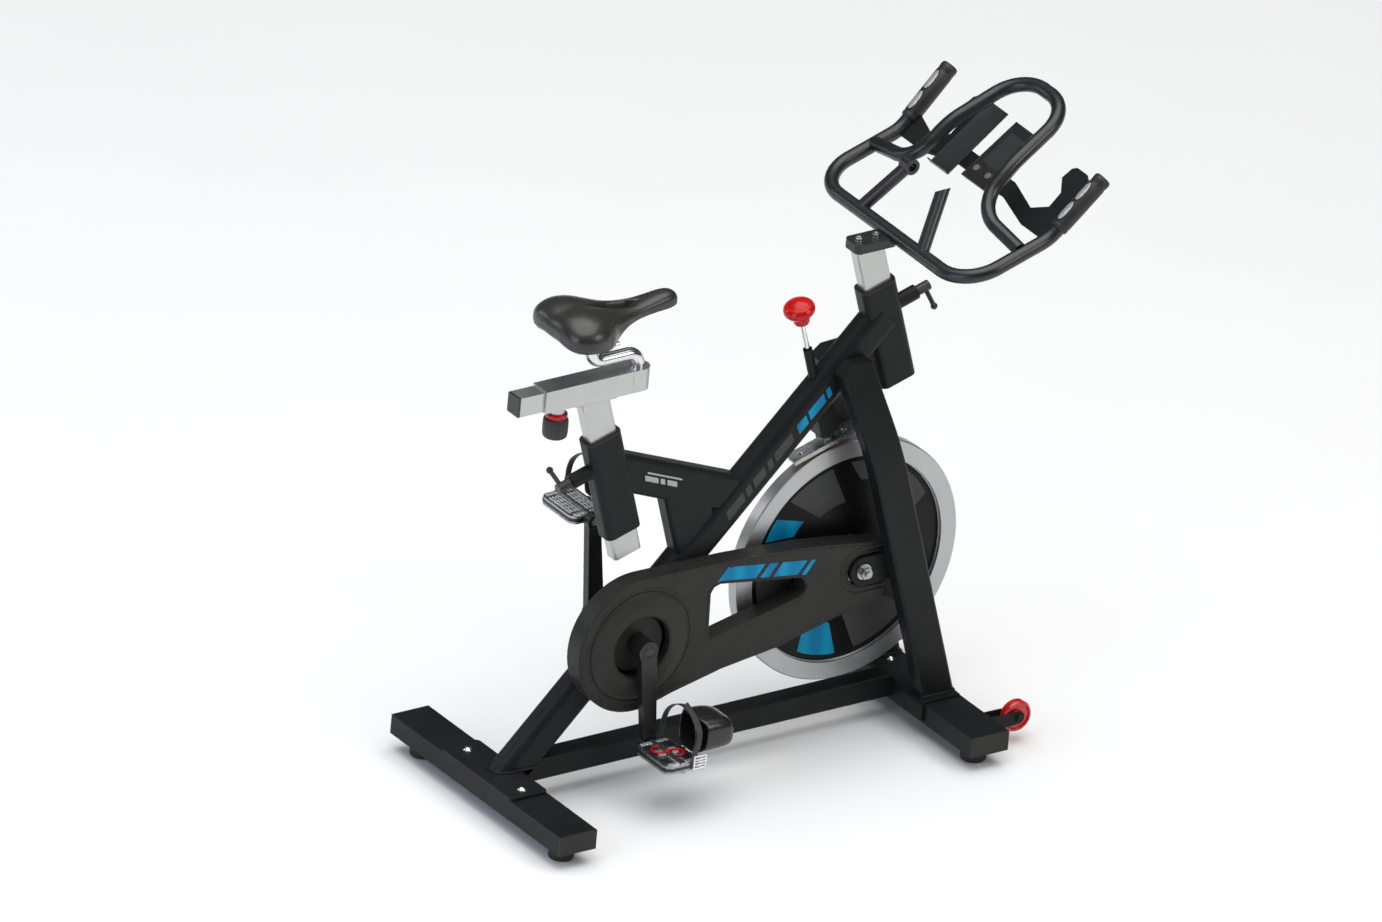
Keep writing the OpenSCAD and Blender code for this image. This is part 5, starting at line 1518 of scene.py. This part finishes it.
    def strap(self) -> None:
        """Adds the strap: an arch of webbing and its loose end."""
        half, spring, at = self.strap_half, self.strap_spring, self.strap_at
        foot = -self.thick / 2 + 3
        arch = [Vector((at, -half, foot)), Vector((at + 1, -half, 14)),
                Vector((at + 3, -half + 0.4, 32))]
        for a in range(170, 9, -20):
            turn = math.radians(a)
            arch.append(Vector((at + 5 + 6 * math.sin(turn), half * math.cos(turn),
                                spring - 6 + 44 * math.sin(turn))))
        arch += [Vector((at + 3, half - 0.4, 32)), Vector((at + 1, half, 14)),
                 Vector((at, half, foot))]
        flat = rectangle(11.0, 1.5, 0.6)
        made = Draft(self.place).sweep(smooth_path(arch, 6), flat, up=Vector((0, -1, 0))).piece(
            self.named("strap_webbing"), STRAP_WEB, self.body)
        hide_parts(self.named("toe_strap"))
        out = self.side.value
        tail = [Vector((at + ahead, out * (half + beyond), z)) for ahead, beyond, z in (
            (4, 1.2, 30), (6, 2.0, 44), (9, -2, 60), (11, -16, 75), (10, -33, 86), (6, -44, 96))]
        Draft(self.place).sweep(smooth_path(tail, 6), flat, up=Vector((0, out, 0))).piece(
            self.named("strap_tail"), STRAP_WEB, self.body)

    def buckle(self) -> None:
        """Adds the strap's slotted buckle."""
        at = (self.strap_at + 12, self.side.value * (self.strap_half + 1.4), 7)
        hold = Draft(self.place @ Matrix.Translation(at)
                     @ Matrix.Rotation(math.radians(90), 4, "X"))
        outer, inner = rectangle(26, 25, 2.5), rectangle(20, 19, 1.2)
        hold.rings([at_height(outer, -1.4), at_height(outer, 1.4), at_height(inner, 1.4),
                    at_height(inner, -1.4)], loop=True)
        for level in (-5.2, 0.0, 5.2):
            hold.block((-11, level - 1.3, -1.2), (11, level + 1.3, 1.2))
        hold.piece(self.named("strap_buckle"), BRIGHT_ALLOY, self.body, rounding=0.4)

    def build(self) -> None:
        """Adds every piece of the pedal."""
        self.faces()
        self.band()
        self.bracket()
        self.cage()
        self.strap()
        self.buckle()


@dataclass
class Saddle(Assembly):
    """The saddle on its sliding beam, with the post, the stem and the slider's knob.

    A station holds its place ahead of the crank, its half width, and the heights of its
    crown, of its widest line and of its skirt.
    """

    stations: tuple[tuple[float, ...], ...] = (
        (-199.0, 32.0, 889.0, 882.0, 874.0), (-196.0, 52.0, 897.5, 881.0, 866.0),
        (-188.0, 66.5, 906.0, 880.0, 859.0), (-176.0, 75.0, 912.0, 879.0, 855.0),
        (-160.0, 79.5, 915.8, 878.0, 853.5), (-144.0, 79.0, 916.3, 877.0, 851.5),
        (-128.0, 74.5, 914.0, 875.5, 848.5), (-112.0, 65.0, 910.0, 874.0, 846.0),
        (-100.0, 55.5, 907.0, 873.5, 846.0), (-90.0, 48.0, 904.5, 875.0, 851.5),
        (-78.0, 41.0, 902.0, 877.5, 860.0), (-60.0, 33.0, 899.5, 881.0, 868.0),
        (-40.0, 27.0, 898.5, 884.0, 872.5), (-20.0, 23.5, 899.5, 886.5, 874.5),
        (0.0, 21.5, 902.3, 888.0, 875.5), (18.0, 20.5, 905.0, 889.0, 876.0),
        (33.0, 19.0, 905.6, 889.0, 877.0), (44.0, 15.5, 903.0, 889.0, 879.0),
        (50.0, 10.5, 898.0, 888.0, 881.0), (52.4, 5.0, 892.5, 887.0, 883.0))
    groove_depth: float = 17.0
    groove_half: float = 11.0
    groove_rear: float = -134.0
    groove_rise: float = 60.0
    groove_front: float = -24.0
    groove_end: float = 18.0
    tail_from: float = -60.0
    tail_run: float = 70.0
    upper: int = 88
    lower: int = 40
    along: int = 90
    cap: float = 4.2
    knob_ribs: int = 20
    knob_facets: int = 160

    def dress(self) -> None:
        """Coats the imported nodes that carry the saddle."""
        tail = self.lay.corner("slider_beam", 0)
        end_cap = Zone(HARD_BLACK.coat, (tail.x + self.cap, 0.0, 0.0), (-1.0, 0.0, 0.0))
        beam = replace(POST_STEEL, name="satin_beam_steel", mottle=0.05, mottle_size=50,
                       stretch=(0.03, 1.0, 1.0), zone=end_cap)
        coat_nodes(beam, "slider_beam")
        coat_nodes(POST_STEEL, "seat_post")
        coat_nodes(CHROME, "saddle_stem")
        coat_nodes(HARD_BLACK, "seat_lever")

    def groove(self, x: float, y: float) -> float:
        """Works out how deep the centre groove is at a point.

        Args:
            x: how far the point lies ahead of the crank.
            y: how far it lies from the middle.

        Returns:
            The depth.
        """
        ahead = min(max((x - self.groove_rear) / self.groove_rise, 0.0), 1.0)
        behind = min(max((self.groove_front - x) / self.groove_end, 0.0), 1.0)
        share = (ahead * ahead * (3 - 2 * ahead)) * (behind * behind * (3 - 2 * behind))
        half = self.groove_half * (0.3 + 0.7 * share)
        return self.groove_depth * share ** 0.6 * math.exp(-((abs(y) / half) ** 6))

    def ring(self, x: float) -> list[Vector]:
        """Draws the cushion's section at a station.

        Args:
            x: the station.

        Returns:
            The ring, over the top to the left and back underneath, in the ground frame.
        """
        half, crown, wide, skirt = (smooth_value(self.stations, x, c) for c in (1, 2, 3, 4))
        rear = min(max((self.tail_from - x) / self.tail_run, 0.0), 1.0)
        flat, steep = 2 / (0.82 - 0.12 * rear), 0.43 + 0.05 * rear
        made = []
        for k in range(self.upper + 1):
            share = math.sin(math.pi * (k / self.upper - 0.5))
            round_off = (1 - abs(share) ** flat) ** steep
            y = half * share
            z = wide + (crown - wide) * round_off
            dip = 2.2 * rear * math.exp(-((y / 16) ** 2))
            made.append(Vector((x, y, z - (dip + self.groove(x, y)))))
        for k in range(1, self.lower):
            a = math.pi * k / self.lower
            c, s = math.sin(a), math.cos(a)
            y = half * math.copysign(abs(s) ** 0.55, s) * (1 - 0.1 * c * c)
            hollow = 1 - min(1.0, abs(y) / (0.72 * half + 0.01)) ** 2
            z = wide - (wide - skirt) * math.sqrt(c)
            made.append(Vector((x, y, z + min(7.0, 0.35 * (wide - skirt)) * hollow)))
        return made

    def cushion(self) -> None:
        """Adds the cushion, the line of its welt and the pan under it."""
        first, last = self.stations[0][0], self.stations[-1][0]
        shares = [(1 - math.cos(math.pi * i / self.along)) / 2 for i in range(self.along + 1)]
        places = [first + (last - first) * share for share in shares]
        rings = [self.ring(x) for x in places]
        made = Draft(self.lay.ground).rings(rings).piece(
            "saddle_cushion", SADDLE_VINYL, "saddle", Shading.SOFT, levels=1)
        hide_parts("saddle")
        left, right = self.upper + 6, self.upper + self.lower - 6
        welt = [ring[left] for ring in rings[3:-3]] + [ring[right] for ring in rings[-4:2:-1]]
        Draft(self.lay.ground).sweep(welt, circle(0.7, 8), loop=True).piece(
            "saddle_welt", SADDLE_VINYL, "saddle", Shading.SOFT)
        pan = []
        for x in places[6:-6:2]:
            half, skirt = (smooth_value(self.stations, x, c) for c in (1, 4))
            pan.append([Vector((x, y * half, skirt + 4.2 + lift)) for y, lift in (
                (-0.66, 0.4), (-0.5, 0.0), (0.5, 0.0), (0.66, 0.4), (0.62, 3.5), (-0.62, 3.5))])
        Draft(self.lay.ground).rings(pan).piece(
            "saddle_pan", MOULDED_BLACK, "saddle")

    def knob(self) -> None:
        """Adds the slider's ribbed knob with its red collar and screw."""
        low, high = (self.lay.corner("slider_knob", end) for end in (0, 1))
        tall = high.z - low.z
        place = Matrix.Translation(((low.x + high.x) / 2, 0, low.z))
        turns = [TURN * k / self.knob_facets for k in range(self.knob_facets)]
        rings = []
        for r, z, deep in ((16.5, 0.0, 0.0), (18.5, 0.8, 0.45), (20.6, 3.0, 1.5),
                           (21.6, 9.0, 1.5), (21.9, 20.0, 1.5), (21.7, 30.0, 1.5),
                           (21.0, 33.5, 0.9), (19.5, 36.0, 0.0), (17.5, 37.0, 0.0)):
            cut = [r - deep * max(0.0, math.cos(self.knob_ribs * a)) ** 2 for a in turns]
            rings.append([Vector((out * math.cos(a), out * math.sin(a), z))
                          for out, a in zip(cut, turns)])
        grip = Draft(place).rings(rings).piece("slider_grip", HARD_BLACK, "slider_knob",
                                               Shading.SOFT)
        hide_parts("slider_knob")
        Draft(place).lathe([(16, 37.0), (18.4, 37.6), (19, 38.6), (19, 43.6), (18.2, 44.8),
                            (16, 45.0), (8, 45.0)], 72).piece(
            "slider_collar", RED_GLOSS, "slider_knob")
        Draft(place).lathe([(5, 38), (5, tall - 1), (4.2, tall)], 32).piece(
            "slider_screw", ZINC, "slider_knob")

    def build(self) -> None:
        """Adds every piece of the saddle."""
        self.cushion()
        self.knob()


@dataclass
class Handlebar(Assembly):
    """The bars with their grips, the holder, tray and console, and the post's lever.

    The tip and the heel of an arm are drawn from the top of the post, on the left side.
    """

    tip: tuple[float, float, float] = (305.0, 226.0, 162.0)
    heel: tuple[float, float, float] = (210.0, 220.0, 70.0)
    grip_r: float = 15.5
    bar_r: float = 12.5
    plates: tuple[Flat, ...] = ((17.0, 54.0), (60.0, 97.0))
    plate_spread: float = 21.0
    rim_spread: float = 31.0
    bolt_heads: float = 16.2
    console: tuple[Flat, ...] = ((0.0, -34.0), (127.0, -29.0), (127.0, 29.0), (0.0, 34.0))
    console_inset: float = 3.4
    face: float = 4.0
    back: float = -20.0
    screen_ahead: float = 74.0
    button_ahead: float = 24.0
    buttons_apart: float = 34.0
    screws: tuple[Flat, ...] = ((54.0, -19.0), (54.0, 19.0), (114.0, -19.0), (114.0, 19.0))

    def dress(self) -> None:
        """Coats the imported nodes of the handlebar."""
        coat_nodes(BAR_PAINT, "handlebar", "aero_loop")
        coat_nodes(BLACK_PAINT, "holder_bracket")
        top = self.lay.clamp.translation.z + self.bolt_heads
        plate = Finish(
            "clamp_paint_and_bolts", "frame_paint", BLACK_PAINT.coat, mottle=0.16,
            mottle_size=60, grain_size=0.9, grain_depth=0.03, worn_and_highlit_colour=(0.12, 0.12, 0.12),
            wear_and_highlight=0.3, edge=1.4, specular=0.5,
            zone=Zone(CHROME.coat, (0.0, 0.0, top), (0.0, 0.0, 1.0)))
        coat_nodes(plate, "bar_clamp_plate")
        coat_nodes(POST_STEEL, "bar_post")
        coat_nodes(TRAY_METAL, "side_tray")
        coat_nodes(CONSOLE_BLACK, "console")
        coat_nodes(BUTTON_RUBBER, "button_left", "button_right")
        coat_nodes(HARD_BLACK, "bar_lever")

    def arm(self, side: Side) -> Matrix:
        """Finds the frame on an arm's tip.

        Args:
            side: the arm's side.

        Returns:
            The frame, with Z down the arm and X to its upper side.
        """
        onto_side = Vector((1, side.value, 1))
        tip, heel = (Vector(end) * onto_side for end in (self.tip, self.heel))
        down = (heel - tip).normalized()
        across = Vector((0, 1, 0))
        across = (across - down * across.dot(down)).normalized()
        upper = across.cross(down)
        if upper.z < 0:
            upper, across = -upper, -across
        turn = Matrix((upper, across, down)).transposed().to_4x4()
        return self.lay.clamp @ Matrix.Translation(tip) @ turn

    def grips(self) -> None:
        """Adds both grips with their bright contact plates."""
        r, bar = self.grip_r, self.bar_r
        profile = [(0, -5), (8, -4.9), (12.6, -4.0), (14.8, -1.6), (r, 2.5), (r - 0.5, 9),
                   (r - 0.9, 12), (r - 0.1, 14.5), (r, 60), (r - 0.1, 98), (r - 0.9, 101),
                   (r, 103.5), (r - 0.4, 108), (14.2, 109.6), (bar + 0.1, 110)]
        for side in Side:
            arm = self.arm(side)
            Draft(arm).lathe(profile, 72).piece(
                f"grip_{side.label}", GRIP_RUBBER, "handlebar", Shading.SOFT)
            plates, rims = Draft(arm), Draft(arm)
            for start, end in self.plates:
                self.plate(plates, start, end, self.plate_spread, 0.7)
                self.plate(rims, start - 2.5, end + 2.5, self.rim_spread, 0.3)
            plates.piece(f"contact_plates_{side.label}", BRIGHT_ALLOY, "handlebar")
            rims.piece(f"contact_rims_{side.label}", HARD_BLACK, "handlebar")
        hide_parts("grips")

    def plate(self, draft: Draft, start: float, end: float, spread: float,
              proud: float) -> None:
        """Adds a curved plate that lies on a grip's upper side.

        Args:
            draft: the draft to add it to.
            start: where along the arm it starts.
            end: where it ends.
            spread: how far it reaches round the grip to each side, in degrees.
            proud: how far it stands above the grip.
        """
        across = [math.radians(-spread + 2 * spread * k / 16) for k in range(17)]
        rings = []
        for i in range(25):
            t = -1 + 2 * i / 24
            z = (start + end) / 2 + (end - start) / 2 * t
            narrow = (1 - abs(t) ** 2.6) ** 0.6 * 0.94 + 0.06
            outer = [(self.grip_r + proud, a * narrow) for a in across]
            inner = [(self.grip_r - 1, a * narrow) for a in reversed(across)]
            rings.append([Vector((r * math.cos(a), r * math.sin(a), z)) for r, a in outer + inner])
        draft.rings(rings)

    def screen(self) -> None:
        """Adds the console's lens, display, rim, button bezels and screws."""
        at = self.lay.holder @ Matrix.Translation((self.screen_ahead, 0, 0))
        Draft(at).slab(rectangle(72.2, 41.2, 2.5), 2.0, 3.7).piece(
            "console_lens", SCREEN_GLASS, "handlebar", rounding=0.4)
        Draft(at).slab(rectangle(68, 37.5, 1.2), 3.6, 3.85).piece(
            "console_display", SCREEN_CRYSTAL, "handlebar")
        middle = self.console[1][0] / 2
        inset = [(x + math.copysign(self.console_inset, middle - x),
                  y - math.copysign(self.console_inset, y)) for x, y in self.console]
        rim = at_height(round_corners(inset, 6, 6), self.face)
        Draft(self.lay.holder).sweep(rim, ellipse(1.3, 0.7, 10), loop=True,
                                     up=Vector((0, 0, 1))).piece(
            "console_rim", CONSOLE_BLACK, "handlebar", Shading.SOFT)
        bezels = Draft(self.lay.holder)
        for y in (-self.buttons_apart / 2, self.buttons_apart / 2):
            ring = [(self.button_ahead + u, y + v) for u, v in circle(7.6, 48)]
            bezels.sweep(at_height(ring, self.face), circle(0.7, 8), loop=True,
                         up=Vector((0, 0, 1)))
        bezels.piece("button_bezels", CONSOLE_BLACK, "handlebar", Shading.SOFT)
        screws = Draft()
        for x, y in self.screws:
            place = (self.lay.holder @ Matrix.Translation((x, y, self.back))
                     @ Matrix.Rotation(math.pi, 4, "X"))
            screws.merge(Draft(place).lathe([(0, 0.5), (2.2, 0.9), (2.9, 0.2), (2.9, -1)], 20))
        screws.piece("console_screws", ZINC, "handlebar")

    def build(self) -> None:
        """Adds every piece of the handlebar."""
        self.grips()
        self.screen()


@dataclass
class Brake(Assembly):
    """The push brake: knob, rod, clip, collar, holder and pad.

    Heights are along the rod, from the crank. The knob's profile is drawn from its seat.
    """

    rod_ahead: float = 452.5
    pad_ahead: float = 443.5
    pad_low: float = 138.32
    pad_length: float = 132.0
    clip_at: float = 314.0
    knob_at: float = 416.0
    knob: tuple[Flat, ...] = (
        (4.2, -25.5), (10.6, -26), (12.6, -25), (13.8, -22), (14, -18), (13.4, -14.6),
        (14.4, -12.6), (18, -10.4), (22.5, -7), (26, -2.6), (27.4, 1.6), (27.2, 5),
        (25.6, 9.4), (22.4, 12.6), (19.4, 14.2), (18.8, 13.8), (17.6, 14.6), (13, 17),
        (7, 18.9), (0, 19.6))

    def dress(self) -> None:
        """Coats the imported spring."""
        coat_nodes(ZINC, "brake_spring")

    def rod(self, place: Matrix) -> None:
        """Adds the rod with its clip and collar.

        Args:
            place: the frame on the rod's line.
        """
        low, top, clip = self.pad_low, self.knob_at, self.clip_at
        bar = Draft(place).lathe([(3.2, low + 8), (4, low + 9), (4, top - 13),
                                  (3.2, top - 12)], 40).piece(
            "brake_rod_bar", CHROME, "brake_rod")
        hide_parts("brake_shoe")
        Draft(place).lathe([(4, clip), (5.6, clip + 0.1), (6, clip + 0.5), (6, clip + 1.6),
                            (5.6, clip + 2), (4, clip + 2)], 40).piece(
            "brake_rod_clip", ZINC, "brake_rod")
        Draft(place).lathe([(4, low + 8.5), (9, low + 8.5), (9, low + 14), (8, low + 15),
                            (4, low + 15)], 40).piece("brake_rod_collar", ZINC, "brake_rod")

    def shoe(self, place: Matrix) -> None:
        """Adds the pad, its holder and the bolts.

        Args:
            place: the frame on the middle of the pad.
        """
        low, half = self.pad_low, self.pad_length / 2
        channel = [(-15, low + 1.5), (-13.6, low + 1.5), (-13.6, low + 6.8), (13.6, low + 6.8),
                   (13.6, low + 1.5), (15, low + 1.5), (15, low + 9), (-15, low + 9)]
        Draft(place).rings([[Vector((x, y, z)) for y, z in channel] for x in (-half, half)]).piece(
            "brake_pad_holder", ZINC, "brake_rod", rounding=0.5)
        Draft(place).slab(rectangle(self.pad_length - 6, 24, 3), low, low + 6.6).piece(
            "brake_pad", PAD_FELT, "brake_rod", rounding=0.8)
        bolts = Draft()
        for x in (-44.0, 44.0):
            bolts.merge(Draft(place @ Matrix.Translation((x, 0, low + 9))).lathe(
                [(0, 3.2), (3, 3.2), (3.6, 2.4), (3.6, 0.8), (5.5, 0.8), (5.5, -0.3)], 36))
        bolts.piece("brake_pad_bolts", CHROME, "brake_rod")

    def build(self) -> None:
        """Adds the rod, the shoe and the knob."""
        place = self.lay.leaning @ Matrix.Translation((self.rod_ahead, 0, 0))
        self.rod(place)
        self.shoe(self.lay.leaning @ Matrix.Translation((self.pad_ahead, 0, 0)))
        cap = Draft(place @ Matrix.Translation((0, 0, self.knob_at))).lathe(self.knob, 96).piece(
            "brake_knob_cap", RED_GLOSS, "brake_knob", Shading.SOFT)
        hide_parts("brake_knob")


# ---- Studio ----


@dataclass(frozen=True)
class Lamp:
    """A soft square light: its name, place and side in metres, power in watts and colour."""

    name: str
    at: tuple[float, float, float]
    size: float
    power: float
    colour: Colour


@dataclass
class Studio:
    """A pale floor, soft lights and the camera, in metres.

    The camera is given by the directions of its right, its top and its back, and by how
    far its middle is shifted from the floor under the crank.
    """

    lay: Layout
    width: float = 2.2956
    distance: float = 6.0
    right: tuple[float, float, float] = (0.8236, -0.5617, 0.0788)
    up: tuple[float, float, float] = (0.1973, 0.4140, 0.8886)
    back: tuple[float, float, float] = (-0.5318, -0.7163, 0.4518)
    shift: tuple[float, float] = (0.13947, 0.52533)
    origin_lift: float = 0.0014
    overhead_power: float = 1.75
    overhead_angle: float = 70.0
    sky_power: float = 0.6
    floor_reach: float = 14.0
    lamps: tuple[Lamp, ...] = (
        Lamp("ceiling", (0.2, -0.1, 3.4), 3.0, 26.0, (1.0, 0.99, 0.97)),
        Lamp("key", (1.6, -2.9, 2.4), 1.6, 32.0, (1.0, 0.98, 0.95)),
        Lamp("rear_fill", (-3.0, -0.6, 1.5), 1.8, 30.0, (0.72, 0.82, 1.0)),
        Lamp("far_rim", (-2.2, 2.6, 1.6), 1.2, 10.0, (0.95, 0.97, 1.0)))

    def camera(self) -> None:
        """Sets the camera, which sees without perspective."""
        data = bpy.data.cameras.new("camera")
        data.type, data.ortho_scale = "ORTHO", self.width
        data.clip_start, data.clip_end = 0.05, 60.0
        eye = bpy.data.objects.new("camera", data)
        right, up, back = Vector(self.right), Vector(self.up), Vector(self.back)
        turn = Matrix((right, up, back)).transposed().to_4x4()
        floor = Vector((self.lay.ground.translation.x * MM, 0, self.origin_lift))
        at = floor + right * self.shift[0] + up * self.shift[1] + back * self.distance
        eye.matrix_world = Matrix.Translation(at) @ turn
        bpy.context.scene.collection.objects.link(eye)
        bpy.context.scene.camera = eye

    def light(self, lamp: Lamp) -> None:
        """Adds a lamp that faces the bike.

        Args:
            lamp: the lamp.
        """
        data = bpy.data.lights.new(lamp.name, "AREA")
        data.shape, data.size = "SQUARE", lamp.size
        data.energy, data.color = lamp.power, lamp.colour
        made = bpy.data.objects.new(lamp.name, data)
        aim = Vector((0, 0, 0.5)) - Vector(lamp.at)
        made.matrix_world = (Matrix.Translation(lamp.at)
                             @ aim.to_track_quat("-Z", "Y").to_matrix().to_4x4())
        bpy.context.scene.collection.objects.link(made)

    def overhead(self) -> None:
        """Adds an even light from straight above, as soft as a wide ceiling."""
        data = bpy.data.lights.new("overhead", "SUN")
        data.energy, data.angle = self.overhead_power, math.radians(self.overhead_angle)
        made = bpy.data.objects.new("overhead", data)
        made.location = (0, 0, 4)
        bpy.context.scene.collection.objects.link(made)

    def sky(self) -> None:
        """Lights the world: bright overhead and dimmer towards the horizon."""
        world = bpy.data.worlds.new("studio")
        world.use_nodes = True
        bpy.context.scene.world = world
        nodes, links = world.node_tree.nodes, world.node_tree.links
        coords = nodes.new("ShaderNodeTexCoord")
        apart = nodes.new("ShaderNodeSeparateXYZ")
        links.new(coords.outputs["Generated"], apart.inputs[0])
        ramp = nodes.new("ShaderNodeValToRGB")
        links.new(apart.outputs["Z"], ramp.inputs[0])
        dim, bright = ramp.color_ramp.elements
        dim.position, dim.color = 0.5, (0.07, 0.08, 0.09, 1)
        bright.position, bright.color = 0.95, (1, 1, 1, 1)
        links.new(ramp.outputs[0], nodes["Background"].inputs[0])
        nodes["Background"].inputs[1].default_value = self.sky_power

    def floor(self) -> None:
        """Adds the pale floor."""
        mesh = bpy.data.meshes.new("floor")
        side = 2 * self.floor_reach
        mesh.from_pydata(at_height(rectangle(side, side), 0.0), [], [(0, 1, 2, 3)])
        tree = ShadeTree("pale_floor")
        tree.put(tree.shader.inputs["Base Color"],
                 tree.blend(tree.noise(3.0), (0.86, 0.86, 0.86), (0.89, 0.89, 0.89)))
        tree.shader.inputs["Roughness"].default_value = 0.9
        tree.shader.inputs["Specular IOR Level"].default_value = 0.1
        mesh.materials.append(tree.material)
        floor = bpy.data.objects.new("floor", mesh)
        bpy.context.scene.collection.objects.link(floor)

    def build(self) -> None:
        """Sets the whole studio up."""
        self.camera()
        self.sky()
        self.floor()
        self.overhead()
        for lamp in self.lamps:
            self.light(lamp)
        bpy.context.scene.view_settings.view_transform = "Standard"


def main() -> None:
    """Builds and dresses the bike, then sets the studio round it."""
    logging.basicConfig(level=logging.INFO, format="%(message)s")
    lay = Layout()
    Studio(lay).build()
    assemblies: list[Assembly] = [
        Base(lay), Weldment(lay), Guard(lay), Flywheel(lay), Cranks(lay),
        Pedal(lay, Side.RIGHT), Pedal(lay, Side.LEFT), Saddle(lay), Handlebar(lay), Brake(lay)]
    for assembly in assemblies:
        log.info("building %s", type(assembly).__name__)
        assembly.dress()
        assembly.build()


if __name__ == "__main__":
    main()
